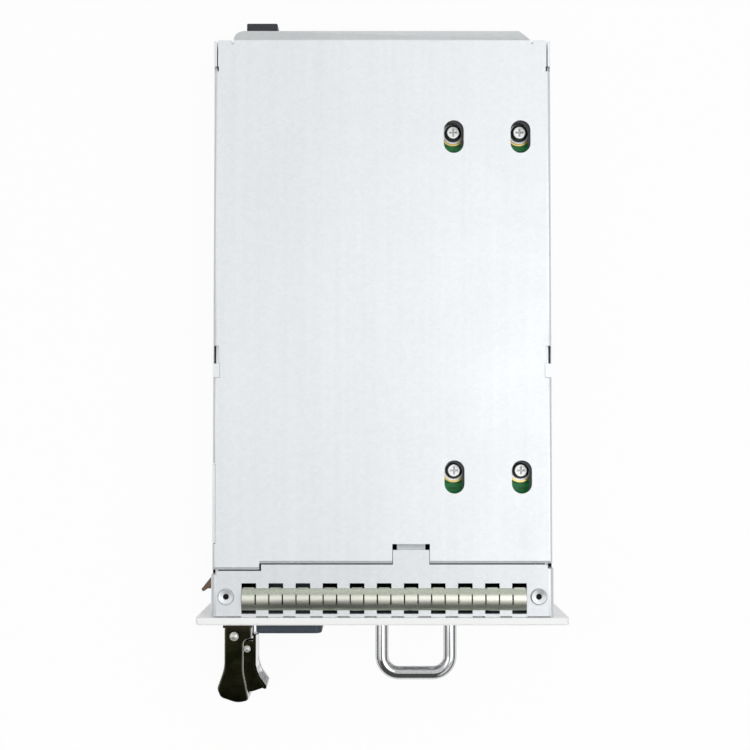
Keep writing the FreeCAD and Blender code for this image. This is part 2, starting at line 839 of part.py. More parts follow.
def hanging_can(width, height, x, y):
    """Capacitor under the board, with a rolled groove near its end."""
    radius = width / 2
    groove = radius * 0.94
    points = [(0, 0), (radius, 0), (radius, height * 0.84), (groove, height * 0.87), (radius, height * 0.9),
              (radius, height), (0, height)]
    return turned(points, (x, y, board_under - height), up)


def bulk_capacitors():
    """Large capacitors of the mains side."""
    x = far_column + pillar_flats + capacitor_width / 2
    first = fixing_rows[0] + capacitor_width * 0.2
    pitch = capacitor_width + part_gap
    return Part.makeCompound([hanging_can(capacitor_width, capacitor_height, x, first + step * pitch)
                              for step in range(2)])


def output_capacitors():
    """Smaller capacitors of the output side, in front of the rear connector."""
    y = fixing_rows[1] + small_capacitor_width
    x = fixing_column - pillar_flats - small_capacitor_width
    return Part.makeCompound([hanging_can(small_capacitor_width, small_capacitor_height,
                                          x - step * (small_capacitor_width + part_gap), y) for step in range(3)])


def transformer_place():
    """Middle of the transformer on the board."""
    return (-core_length / 2, (fixing_rows[0] + fixing_rows[1]) / 2)


def transformer_core():
    """Ferrite core with a middle leg and two outer legs."""
    x, y = transformer_place()
    half = core_length / 2
    low = board_under - core_height
    core = box((x - half, x + half), (y - core_width / 2, y + core_width / 2), (low, board_under))
    cutters = []
    for side in (-1, 1):
        span = ordered(x + side * core_leg / 2, x + side * (half - core_leg / 2))
        cutters.append(box(span, (y - core_width, y + core_width),
                           (low + core_leg / 2, board_under - core_leg / 2)))
    return core.cut(cutters)


def transformer_winding():
    """Taped winding round the core's middle leg."""
    x, y = transformer_place()
    low = board_under - core_height + core_leg / 2 + slip
    high = board_under - core_leg / 2 - slip
    inner_x = core_leg / 2 + slip
    inner_y = core_width / 2 + slip
    outer = slab(frame_corners((x - inner_x - winding_wall, x + inner_x + winding_wall),
                               (y - inner_y - winding_wall, y + inner_y + winding_wall), winding_corner), low, high)
    return outer.cut(box((x - inner_x, x + inner_x), (y - inner_y, y + inner_y), (low - 1, high + 1)))


def heat_sink(x, y, side):
    """Extruded heat sink that stands on the board, with fins on one side."""
    low = board_under - sink_height
    span = (y - sink_length / 2, y + sink_length / 2)
    parts = [box(ordered(x, x + side * sink_base), span, (low, board_under))]
    pitch = (sink_height - sink_fin) / (sink_fin_count - 1)
    for step in range(sink_fin_count):
        height = low + step * pitch
        parts.append(box(ordered(x, x + side * (sink_base + sink_fin_reach)),
                         (y - sink_length / 2, y + sink_length / 2), (height, height + sink_fin)))
    return parts[0].fuse(parts[1:]).removeSplitter()


def sink_places():
    """Wall and direction of the two heat sinks, between the pillar columns."""
    middle = (fixing_rows[0] + fixing_rows[1]) / 2
    return [(fixing_column + fixing_pitch_x / 2, middle, 1), (fixing_column - pillar_flats, middle, -1)]


def power_transistors():
    """Flat power transistors clamped to the plain sides of the heat sinks."""
    bodies = []
    for x, y, side in sink_places():
        for step in (-1, 0, 1):
            middle = y + step * (transistor_width + transistor_gap)
            bodies.append(box(ordered(x, x - side * transistor_thickness),
                              (middle - transistor_width / 2, middle + transistor_width / 2),
                              (board_under - transistor_height, board_under)))
    return Part.makeCompound(bodies)


def filter_choke():
    """Ring choke of the mains filter, standing on edge under the board."""
    y = front + board_front + choke_width / 2 + part_gap
    z = board_under - choke_width / 2
    x = -choke_depth
    ring = rod(choke_width, (x - choke_depth / 2, y, z), right, choke_depth)
    ring = ring.makeFillet(choke_round, ring.Edges)
    return ring.cut(rod(choke_bore, (x - choke_depth, y, z), right, 2 * choke_depth))


def mains_inlet():
    """Inlet with a rounded bezel on the faceplate and a deep socket."""
    bezel_front = plate_front - inlet_bezel
    corners = frame_corners((inlet_middle - inlet_width / 2, inlet_middle + inlet_width / 2),
                            (middle_z - inlet_height / 2, middle_z + inlet_height / 2), inlet_corner)
    bezel = panel(corners, bezel_front, plate_front)
    edges = [edge for edge in bezel.Edges if abs(edge.BoundBox.YMax - bezel_front) < tiny]
    bezel = bezel.makeFillet(inlet_bezel_round, edges)
    half_x = inlet_cavity_width / 2
    half_z = inlet_cavity_height / 2
    cut = inlet_cavity_chamfer
    corner = inlet_cavity_corner
    west = inlet_middle - half_x
    east = inlet_middle + half_x
    floor = middle_z - half_z
    roof = middle_z + half_z
    socket = [(west, floor, corner), (east - cut, floor), (east, floor + cut), (east, roof - cut),
              (east - cut, roof), (west, roof, corner)]
    cavity = panel(socket, bezel_front - 1, bezel_front + inlet_cavity_depth)
    holes = [box((x - inlet_pin_thickness / 2, x + inlet_pin_thickness / 2), (bezel_front, front + body_length),
                 (z - inlet_pin_width / 2, z + inlet_pin_width / 2)) for x, z in inlet_pin_places()]
    return bezel.fuse(inlet_block(0)).cut([cavity] + holes).removeSplitter()


def inlet_pin_places():
    """Places of the two live pins and the earth pin."""
    return [(inlet_middle - inlet_pin_offset, middle_z - inlet_pin_pitch / 2),
            (inlet_middle - inlet_pin_offset, middle_z + inlet_pin_pitch / 2),
            (inlet_middle + inlet_pin_offset, middle_z)]


def inlet_pins():
    """Flat pins in the inlet's socket, with solder tails behind it."""
    base = plate_front - inlet_bezel + inlet_cavity_depth
    pins = []
    for x, z in inlet_pin_places():
        half = inlet_pin_thickness / 2
        tip = base - inlet_pin_length
        outline = [(x - half, tip + 1), (x - half / 2, tip), (x + half / 2, tip), (x + half, tip + 1),
                   (x + half, plate_front + inlet_body_length + inlet_pin_tail),
                   (x - half, plate_front + inlet_body_length + inlet_pin_tail)]
        pins.append(slab(outline, z - inlet_pin_width / 2, z + inlet_pin_width / 2))
    return Part.makeCompound(pins)


def pull_handle():
    """Bent round bar that stands out of the faceplate."""
    end = plate_front - handle_reach + handle_bar / 2
    low, high = handle_legs
    corner = handle_bend
    diagonal = corner * (1 - math.sqrt(0.5))

    def spot(x, y):
        return FreeCAD.Vector(x, y, middle_z)

    path = Part.Wire([
        Part.makeLine(spot(low, plate_front), spot(low, end + corner)),
        Part.Arc(spot(low, end + corner), spot(low + diagonal, end + diagonal),
                 spot(low + corner, end)).toShape(),
        Part.makeLine(spot(low + corner, end), spot(high - corner, end)),
        Part.Arc(spot(high - corner, end), spot(high - diagonal, end + diagonal),
                 spot(high, end + corner)).toShape(),
        Part.makeLine(spot(high, end + corner), spot(high, plate_front))])
    section = Part.Wire([Part.makeCircle(handle_bar / 2, spot(low, plate_front), back)])
    bar = path.makePipeShell([section], True, True)
    bar = bar if bar.ShapeType == "Solid" else Part.Solid(bar)
    depth = handle_screw_depth
    holes = [rod(handle_screw + slip, (x, plate_front - depth, middle_z), back, depth + 1) for x in handle_legs]
    return bar.cut(holes)


def handle_screws():
    """Screws from behind the faceplate into the ends of the handle."""
    screws = []
    reach = plate_thickness + handle_screw_depth - sheet
    for x in handle_legs:
        head = rod(handle_screw_head, (x, front, middle_z), back, handle_screw_head_height)
        screws.append(head.fuse(rod(handle_screw, (x, front - reach, middle_z), back, reach)))
    return Part.makeCompound(screws)


def at_pivot(points):
    """Outline points moved from the lever's pivot to the module."""
    return [(pivot_x + point[0], pivot_y + point[1]) + tuple(point[2:]) for point in points]


def bracket_screw_places():
    """Places of the two screws that hold the lever's bracket."""
    return [pivot_x + bracket_screw_left, pivot_x + bracket_screw_right]


def lever_bracket():
    """Tongue on the faceplate that carries the lever's pivot pin."""
    eye = pivot_pin * 0.95
    wide = lever_right - free_gap - side_gap
    outline = [(-lever_left + free_gap, pivot_ahead), (-eye, free_gap, small_round), (-eye, -eye, eye * 0.9),
               (eye, -eye, eye * 0.9), (eye, 3 * free_gap, small_round), (wide, bracket_step, small_round),
               (wide, pivot_ahead)]
    tongue = slab(at_pivot(outline), middle_z - tongue_half, middle_z + tongue_half)
    cutters = [rod(pivot_pin + 2 * running_gap, (pivot_x, pivot_y, 0), up, body_height)]
    for x in bracket_screw_places():
        cutters.append(rod(bracket_screw + slip, (x, plate_front - bracket_screw_depth, middle_z), back,
                           bracket_screw_depth + 1))
    return tongue.cut(cutters)


def bracket_screws():
    """Small screws from behind the faceplate into the bracket."""
    screws = []
    reach = plate_thickness + bracket_screw_depth - side_gap
    for x in bracket_screw_places():
        head = rod(bracket_screw * 1.9, (x, front, middle_z), back, bracket_screw * 0.6)
        screws.append(head.fuse(rod(bracket_screw, (x, front - reach, middle_z), back, reach)))
    return Part.makeCompound(screws)


def ejector_lever():
    """Cast lever with a flared grip, a channel for its trigger and two claws behind the faceplate."""
    grip = [(-lever_left, -flare_start, sweep_round), (-flare_reach, -flare_middle, flare_round),
            (-heel_x, -heel_y, flare_round), (belly_x, -lever_grip, belly_round),
            (seam_end_x, -seam_end_y, claw_round), (seam_x, -seam_bow, sweep_round),
            (seam_x, -seam_top, seam_round),
            (lever_right, -head_under, small_round), (lever_right, pivot_ahead - free_gap),
            (-lever_left, pivot_ahead - head_drop, head_round)]
    seam_start = pivot_y - seam_top - tiny
    solid = slab(at_pivot(grip), lever_low, lever_high)
    flat = [edge for edge in solid.Edges if edge.BoundBox.ZLength < tiny]
    rim = [edge for edge in flat if edge.BoundBox.XMin < pivot_x or edge.BoundBox.YMax < seam_start]
    solid = solid.makeFillet(lever_round, rim)
    claw_tip = claw_face - claw_nose
    arm = [(-arm_left, arm_root), (arm_right, arm_root), (arm_right, arm_shoulder, arm_round),
           (-arm_end_x, arm_end_y, arm_round), (-claw_top_x, claw_slope_y, claw_round),
           (-claw_reach, claw_tip + claw_blunt, small_round),
           (-claw_reach + claw_blunt, claw_tip, small_round), (-claw_reach + 3 * claw_blunt, claw_face),
           (-arm_left, claw_face, small_round)]
    arms = []
    for low in (lever_low, lever_high - lever_wall):
        arms.append(slab(at_pivot(arm), low, low + lever_wall))
    solid = solid.fuse(arms)
    fork = box((pivot_x - lever_left - 1, pivot_x + lever_right + 1), (pivot_y - fork_depth, plate_front + 1),
               (middle_z - tongue_half - side_gap, middle_z + tongue_half + side_gap))
    groove = [(channel_wall, -channel_top, small_round), (lever_right + 1, -channel_top),
              (lever_right + 1, -channel_end), (channel_wall, -channel_end, small_round)]
    groove_half = trigger_half + side_gap
    channel_room = slab(at_pivot(groove), middle_z - groove_half, middle_z + groove_half)
    bore = rod(pivot_pin + 2 * running_gap, (pivot_x, pivot_y, 0), up, body_height)
    solid = solid.cut([fork, channel_room, bore])
    ear_z = (middle_z - ear_half, middle_z + ear_half)
    ear_y = pivot_y + trigger_y
    ear = rod(2 * trigger_ear, (pivot_x + trigger_x, ear_y, ear_z[0]), up, 2 * ear_half)
    root = box((pivot_x, pivot_x + trigger_x), (ear_y - trigger_ear, pivot_y - fork_depth - free_gap), ear_z)
    solid = solid.fuse([ear, root])
    hole = rod(trigger_pin + 2 * running_gap, (pivot_x + trigger_x, ear_y, 0), up, body_height)
    return solid.cut(hole).removeSplitter()


def pivot_pin_solid():
    """Pin through the lever's fork and its bracket, with flat heads."""
    head = pivot_pin_head
    return rod(pivot_pin, (pivot_x, pivot_y, lever_low - head), up, lever_thickness + 2 * head)


def finger_pad(share):
    """Outline of the trigger's web, from its edge at 0 to the middle of its bulging pad at 1."""
    inner = trigger_right - web_bite
    out = trigger_proud + share * pad_bulge
    rise = share * pad_rise
    toe = -trigger_tip_y - toe_fall
    return [(inner, trigger_nose, web_bite), (trigger_right + out, trigger_nose, small_round),
            (trigger_right + out, rise - trigger_waist, belly_round),
            (trigger_knee_x + out, rise - trigger_knee_y, belly_round),
            (trigger_tip_x + out, rise - trigger_tip_y, small_round),
            (trigger_tip_x + trigger_proud, toe, web_bite), (trigger_tip_x - web_bite, toe, web_bite),
            (trigger_knee_x - web_bite, -trigger_knee_y - web_bite, belly_round),
            (inner, -trigger_waist, belly_round)]


def release_trigger():
    """Trigger that closes into the lever's channel, with walls round the lever's ear and a proud web."""
    wall = [(seam_x - trigger_hidden, -trigger_top, seam_round),
            (trigger_right, -trigger_top, seam_round / 2),
            (trigger_right, -trigger_waist, belly_round), (trigger_knee_x, -trigger_knee_y, belly_round),
            (trigger_tip_x, -trigger_tip_y - toe_fall / 2, small_round),
            (seam_end_x + trigger_proud, -trigger_end, small_round),
            (seam_end_x - trigger_hidden, -trigger_end, small_round),
            (seam_x - trigger_hidden / 2, -flare_start, belly_round)]
    walls = []
    for low in (middle_z - trigger_half, middle_z + trigger_half - trigger_wall):
        walls.append(slab(at_pivot(wall), low, low + trigger_wall))
    sections = [(-trigger_web, 0), (-pad_half, 1), (pad_half, 1), (trigger_web, 0)]
    wires = [profile(at_pivot(finger_pad(share)), "xy", middle_z + height).OuterWire
             for height, share in sections]
    solid = Part.makeLoft(wires, True, True).fuse(walls)
    hole = rod(trigger_pin + 2 * running_gap, (pivot_x + trigger_x, pivot_y + trigger_y, 0), up, body_height)
    return solid.cut(hole).removeSplitter()


def trigger_pin_solid():
    """Pin through the trigger's walls and the lever's ear."""
    half = trigger_half + pivot_pin_head
    return rod(trigger_pin, (pivot_x + trigger_x, pivot_y + trigger_y, middle_z - half), up, 2 * half)


def trigger_spring():
    """Bent leaf spring that pushes the trigger away from the grip."""
    foot = channel_wall + running_gap
    heel = foot + spring_foot
    leaf = [(foot, -spring_start), (heel, -spring_start), (spring_apex_x, -spring_apex_y, spring_foot),
            (heel, -spring_end), (foot, -spring_end), (foot, -spring_end + spring_strip),
            (spring_apex_x - 2 * spring_foot, -spring_apex_y, spring_foot),
            (foot, -spring_start - spring_strip)]
    return slab(at_pivot(leaf), middle_z - spring_width / 2, middle_z + spring_width / 2)


def lamp_heights():
    """Heights of the lamps, one above another."""
    return [middle_z + step * lamp_pitch for step in (-1, 0, 1)]


def indicator_lamps():
    """Round light guides in the faceplate."""
    lamps = []
    for z in lamp_heights():
        lamp = rod(lamp_width, (lamp_x, plate_front - lamp_proud, z), back, lamp_length)
        lamps.append(lamp.makeFillet(lamp_proud * 0.8, [lamp.Edges[2]]))
    return Part.makeCompound(lamps)


def rear_plug():
    """Connector block on the board's rear edge with rows of square cells."""
    span_x = (plug_middle - plug_width / 2, plug_middle + plug_width / 2)
    span_z = (board_under - plug_height, board_under)
    end = rear + plug_reach
    block = panel(frame_corners(span_x, span_z, plug_corner), rear - plug_board_hold, end)
    edges = [edge for edge in block.Edges if abs(edge.BoundBox.YMin - end) < tiny]
    block = block.makeChamfer(plug_corner / 2, edges)
    cells = []
    for x, z in plug_cells():
        half = plug_cell / 2
        cells.append(box((x - half, x + half), (end - plug_cell_depth, end + 1), (z - half, z + half)))
        half = contact_width / 2
        cells.append(box((x - half, x + half), (rear - plug_board_hold - 1, end), (z - half, z + half)))
    return block.cut(cells)


def plug_cells():
    """Middles of the connector's cells."""
    return [(plug_middle + (column - (plug_columns - 1) / 2) * plug_cell_pitch,
             board_under - plug_height / 2 + (row - (plug_rows - 1) / 2) * plug_cell_pitch)
            for column in range(plug_columns) for row in range(plug_rows)]


def plug_contacts():
    """Square contact pins in the connector's cells."""
    half = contact_width / 2
    span = (rear - plug_board_hold - contact_tail, rear + plug_reach - plug_wall)
    return Part.makeCompound([box((x - half, x + half), span, (z - half, z + half)) for x, z in plug_cells()])


def solder_pads():
    """Bare contact rings on the board under the screws."""
    return washers(pad_width, pad_thickness, board_top)


def flat_washers():
    """Flat washers on the pads."""
    return washers(flat_washer_width, flat_washer_thickness, board_top + pad_thickness)


def spring_washers():
    """Spring washers under the screw heads."""
    base = board_top + pad_thickness + flat_washer_thickness
    return washers(spring_washer_width, spring_washer_thickness, base)


def input_heat_sink():
    """Heat sink of the mains side."""
    return heat_sink(*sink_places()[0])


def output_heat_sink():
    """Heat sink of the output side."""
    return heat_sink(*sink_places()[1])


pieces = {
    "faceplate": faceplate, "base_tray": base_tray, "top_cover": top_cover, "front_collar": front_collar,
    "contact_fingers": contact_fingers, "collar_rivets": collar_rivets, "cover_screws": cover_screws,
    "faceplate_screws": faceplate_screws, "insulating_film": insulating_film, "circuit_board": circuit_board,
    "solder_pads": solder_pads, "flat_washers": flat_washers, "spring_washers": spring_washers,
    "board_screws": board_screws, "board_pillars": board_pillars, "bulk_capacitors": bulk_capacitors,
    "output_capacitors": output_capacitors, "transformer_core": transformer_core,
    "transformer_winding": transformer_winding, "input_heat_sink": input_heat_sink,
    "output_heat_sink": output_heat_sink, "power_transistors": power_transistors,
    "filter_choke": filter_choke,
    "mains_inlet": mains_inlet, "inlet_pins": inlet_pins, "pull_handle": pull_handle,
    "handle_screws": handle_screws, "lever_bracket": lever_bracket, "bracket_screws": bracket_screws,
    "ejector_lever": ejector_lever, "lever_pivot_pin": pivot_pin_solid, "release_trigger": release_trigger,
    "trigger_pin": trigger_pin_solid, "trigger_spring": trigger_spring, "indicator_lamps": indicator_lamps,
    "rear_connector": rear_plug, "connector_contacts": plug_contacts,
}

os.makedirs("parts", exist_ok=True)
for name, make in pieces.items():
    shape = make()
    shape.exportStep("parts/" + name + ".step")
    print(name, "solids", len(shape.Solids), "volume", round(shape.Volume, 1), "valid", shape.isValid())
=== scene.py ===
"""Looks of a plug-in power supply module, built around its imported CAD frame."""

import logging
import math
from dataclasses import dataclass, field, replace
from enum import Enum
from typing import ClassVar

import bpy
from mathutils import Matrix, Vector


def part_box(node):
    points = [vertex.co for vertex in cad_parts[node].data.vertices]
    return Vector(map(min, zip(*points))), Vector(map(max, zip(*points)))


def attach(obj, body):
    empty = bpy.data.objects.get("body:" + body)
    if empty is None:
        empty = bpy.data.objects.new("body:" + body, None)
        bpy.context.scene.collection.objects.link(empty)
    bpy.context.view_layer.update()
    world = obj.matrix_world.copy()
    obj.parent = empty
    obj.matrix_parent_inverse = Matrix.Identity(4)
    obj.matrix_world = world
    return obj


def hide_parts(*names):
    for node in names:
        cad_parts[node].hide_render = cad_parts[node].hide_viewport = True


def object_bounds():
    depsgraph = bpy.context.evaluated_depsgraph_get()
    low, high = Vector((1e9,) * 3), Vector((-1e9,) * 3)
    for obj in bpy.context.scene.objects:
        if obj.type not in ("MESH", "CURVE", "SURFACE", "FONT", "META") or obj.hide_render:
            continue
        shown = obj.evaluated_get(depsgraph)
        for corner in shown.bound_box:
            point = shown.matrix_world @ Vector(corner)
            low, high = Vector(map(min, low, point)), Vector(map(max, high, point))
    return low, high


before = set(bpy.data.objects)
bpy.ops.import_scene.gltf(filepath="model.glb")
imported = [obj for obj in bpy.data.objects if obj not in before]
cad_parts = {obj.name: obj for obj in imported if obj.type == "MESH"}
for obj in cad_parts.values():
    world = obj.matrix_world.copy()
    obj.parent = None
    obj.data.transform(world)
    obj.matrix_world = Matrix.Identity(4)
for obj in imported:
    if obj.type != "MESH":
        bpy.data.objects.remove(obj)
CAD_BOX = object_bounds()
MM = 0.001

Colour = tuple[float, float, float]
Scale = tuple[float, float, float]
Span = tuple[float, float]
Profile = list[tuple[float, float]]
Socket = bpy.types.NodeSocket

RISING: Span = (0.0, 1.0)
FALLING: Span = (1.0, 0.0)
WHITE: Colour = (1.0, 1.0, 1.0)
# Noise keeps close to one half, so this span is stretched to the full range
CLOUD_SPAN: Span = (0.3, 0.7)
CLOUD_DETAIL = 3.0

# Broken edges of the CAD nodes
WELD_REACH = 0.001 * MM
BEVEL_STEPS = 2
BEVEL_ANGLE = math.radians(40.0)

log = logging.getLogger("module")
# Materials by the name of their finish, so that each is made once
MADE: dict[str, bpy.types.Material] = {}


class Grain(Enum):
    """Pattern that breaks up the colour of a finish."""

    SPECKLE = "speckle"
    SPANGLE = "spangle"
    DRAWN = "drawn"
    TRACKS = "tracks"
    MOTTLE = "mottle"


class Edge(Enum):
    """How far a piece's edges are broken, in metres."""

    SHARP = 0.0
    DEBURRED = 0.12 * MM
    EASED = 0.25 * MM


class Place(Enum):
    """Coordinates that a shader can read."""

    METRES = "Object"
    SHARE = "Generated"
    FACING = "Normal"


class Operation(Enum):
    """What a shader can work out from one or two values."""

    ABSOLUTE = "ABSOLUTE"
    DIFFERENCE = "SUBTRACT"
    PRODUCT = "MULTIPLY"
    LARGER = "MAXIMUM"


class NodeSketch:
    """Helper that adds shader nodes to one tree and links them."""

    def __init__(self, tree: bpy.types.NodeTree) -> None:
        """Keeps the tree that takes the nodes."""
        self.tree = tree

    def add(self, kind: str) -> bpy.types.Node:
        """Returns a new node of a kind."""
        return self.tree.nodes.new(f"ShaderNode{kind}")

    def link(self, source: Socket, target: Socket) -> None:
        """Joins an output to an input."""
        self.tree.links.new(source, target)

    def put(self, value: Socket | Colour | float, target: Socket) -> None:
        """Feeds an input.

        Args:
            value: Another node's output, a colour or a number.
            target: The input.
        """
        if isinstance(value, bpy.types.NodeSocket):
            self.link(value, target)
        elif isinstance(value, tuple):
            target.default_value = (*value, 1.0)
        else:
            target.default_value = value

    def part(self, place: Place, axis: str) -> Socket:
        """Reads one part of a coordinate.

        Args:
            place: The coordinate.
            axis: X, Y or Z.

        Returns:
            That part's value.
        """
        split = self.add("SeparateXYZ")
        self.link(self.add("TexCoord").outputs[place.value], split.inputs["Vector"])
        return split.outputs[axis]

    def calculate(self, operation: Operation, first: Socket, second: Socket | float = 0.0) -> Socket:
        """Works out a value.

        Args:
            operation: What is worked out.
            first: The first value.
            second: The second value, where the operation takes one.

        Returns:
            The result.
        """
        node = self.add("Math")
        node.operation = operation.value
        self.put(first, node.inputs[0])
        self.put(second, node.inputs[1])
        return node.outputs["Value"]

    def remap(self, value: Socket, source: Span, target: Span = RISING, smooth: bool = False) -> Socket:
        """Stretches a value from one span to another and holds it there.

        Args:
            value: The value to change.
            source: Low and high end of the span that is read.
            target: Low and high end of the span that is given.
            smooth: Whether the ends are eased.

        Returns:
            The changed value.
        """
        node = self.add("MapRange")
        if smooth:
            node.interpolation_type = "SMOOTHSTEP"
        node.inputs["From Min"].default_value, node.inputs["From Max"].default_value = source
        node.inputs["To Min"].default_value, node.inputs["To Max"].default_value = target
        self.link(value, node.inputs["Value"])
        return node.outputs["Result"]

    def blend(self, share: float, first: Socket, second: Socket) -> Socket:
        """Mixes two values.

        Args:
            share: Part of the second value.
            first: The value that fills the rest.
            second: The value that is mixed in.

        Returns:
            The mixed value.
        """
        node = self.add("Mix")
        node.inputs["Factor"].default_value = share
        self.link(first, node.inputs["A"])
        self.link(second, node.inputs["B"])
        return node.outputs["Result"]

    def tint(self, share: Socket, first: Socket | Colour, second: Colour) -> Socket:
        """Mixes two colours.

        Args:
            share: Part of the second colour, from 0 to 1.
            first: The colour that fills the rest.
            second: The colour that is mixed in.

        Returns:
            The mixed colour.
        """
        node = self.add("Mix")
        node.data_type = "RGBA"
        start, end = [socket for socket in node.inputs if socket.type == "RGBA"]
        self.link(share, node.inputs[0])
        self.put(first, start)
        self.put(second, end)
        return next(socket for socket in node.outputs if socket.type == "RGBA")


@dataclass(frozen=True)
class Layer:
    """Cloudy layer of a pattern, with its cells per metre along each axis and the part that shows."""

    scale: Scale
    share: float
    detail: float = CLOUD_DETAIL
    span: Span = CLOUD_SPAN


class SurfaceSketch(NodeSketch):
    """Nodes of one surface: its patterns, its places and its relief."""

    # How far a face looks up, from 0 on an upright face to 1 on a level one
    LEAVES_UPRIGHT: Span = (0.12, 0.3)
    NEARS_LEVEL: Span = (0.72, 0.93)
    BECOMES_LEVEL: Span = (0.955, 0.99)
    # Shares of the piece's own height and length, where the painted crest highlight and the painted rear
    # reflection begin
    CREST_HEIGHT: Span = (0.6, 0.8)
    REAR_LENGTH: Span = (0.52, 0.74)
    # Height over which the painted shade on low level faces fades in
    PAINTED_SHADE_FADE = 0.5 * MM

    def __init__(self, name: str) -> None:
        """Starts a material that holds only a principled shader and its output.

        Args:
            name: The material's name.
        """
        self.material = bpy.data.materials.new(name)
        self.material.use_nodes = True
        super().__init__(self.material.node_tree)
        self.shader = self.tree.nodes["Principled BSDF"]
        self.place = self.add("TexCoord").outputs[Place.METRES.value]

    def stretched(self, scale: Scale) -> Socket:
        """Scales the surface's coordinates.

        Args:
            scale: Factor along each axis, in cells per metre.

        Returns:
            The scaled coordinates.
        """
        mapping = self.add("Mapping")
        mapping.inputs["Scale"].default_value = scale
        self.link(self.place, mapping.inputs["Vector"])
        return mapping.outputs["Vector"]

    def noise(self, scale: Scale, detail: float = CLOUD_DETAIL) -> Socket:
        """Adds noise.

        Args:
            scale: Cells per metre along each axis.
            detail: Number of finer layers.

        Returns:
            The noise's value, around one half.
        """
        texture = self.add("TexNoise")
        texture.inputs["Scale"].default_value = 1.0
        texture.inputs["Detail"].default_value = detail
        self.link(self.stretched(scale), texture.inputs["Vector"])
        return texture.outputs["Fac"]

    def cells(self, scale: float) -> Socket:
        """Adds crystal-like cells, each with its own level.

        Args:
            scale: Cells per metre.

        Returns:
            The level of each cell, from 0 to 1.
        """
        texture = self.add("TexVoronoi")
        texture.inputs["Scale"].default_value = 1.0
        self.link(self.stretched((scale, scale, scale)), texture.inputs["Vector"])
        split = self.add("SeparateColor")
        self.link(texture.outputs["Color"], split.inputs["Color"])
        return split.outputs["Red"]

    def layered(self, base: Socket, layer: Layer) -> Socket:
        """Lays a cloudy layer over a pattern.

        Args:
            base: The pattern below.
            layer: The layer.

        Returns:
            The mixed pattern.
        """
        clouds = self.remap(self.noise(layer.scale, layer.detail), layer.span)
        return self.blend(layer.share, base, clouds)

    def slanted(self) -> Socket:
        """Finds faces that are neither flat nor upright, such as rounded edges, which get a painted
        highlight.

        Returns:
            One on a slanted face, falling to zero on a level or an upright one.
        """
        level = self.calculate(Operation.ABSOLUTE, self.part(Place.FACING, "Z"))
        above = self.remap(level, self.LEAVES_UPRIGHT)
        below = self.remap(level, self.NEARS_LEVEL, FALLING)
        return self.calculate(Operation.PRODUCT, above, below)

    def level_share(self) -> Socket:
        """Returns one on faces that lie level and look up, falling to zero on a slope."""
        return self.remap(self.part(Place.FACING, "Z"), self.BECOMES_LEVEL)

    def crest_share(self) -> Socket:
        """Returns one on level faces at the top of an arched piece, where a highlight is painted, and zero
        elsewhere.
        """
        high = self.remap(self.part(Place.SHARE, "Z"), self.CREST_HEIGHT)
        return self.calculate(Operation.PRODUCT, high, self.level_share())

    def painted_shade_share(self, top: float) -> Socket:
        """Finds level faces below a height that get painted shade, such as the inside of the tray's floor.

        Args:
            top: The height in metres.

        Returns:
            One on those faces, and zero elsewhere.
        """
        low = self.remap(self.part(Place.METRES, "Z"), (top - self.PAINTED_SHADE_FADE, top), FALLING)
        return self.calculate(Operation.PRODUCT, low, self.level_share())

    def rear_reflection_share(self) -> Socket:
        """Returns zero on the front of a piece, rising to one towards its rear end, where a reflection is
        painted.
        """
        return self.remap(self.part(Place.SHARE, "Y"), self.REAR_LENGTH)

    def relief(self, height: Socket, strength: float, depth: float) -> None:
        """Raises the surface by a pattern.

        Args:
            height: Pattern from 0 to 1.
            strength: Share of the relief that shows.
            depth: Height of the relief in metres.
        """
        node = self.add("Bump")
        node.inputs["Strength"].default_value = strength
        node.inputs["Distance"].default_value = depth
        self.link(height, node.inputs["Height"])
        self.link(node.outputs["Normal"], self.shader.inputs["Normal"])


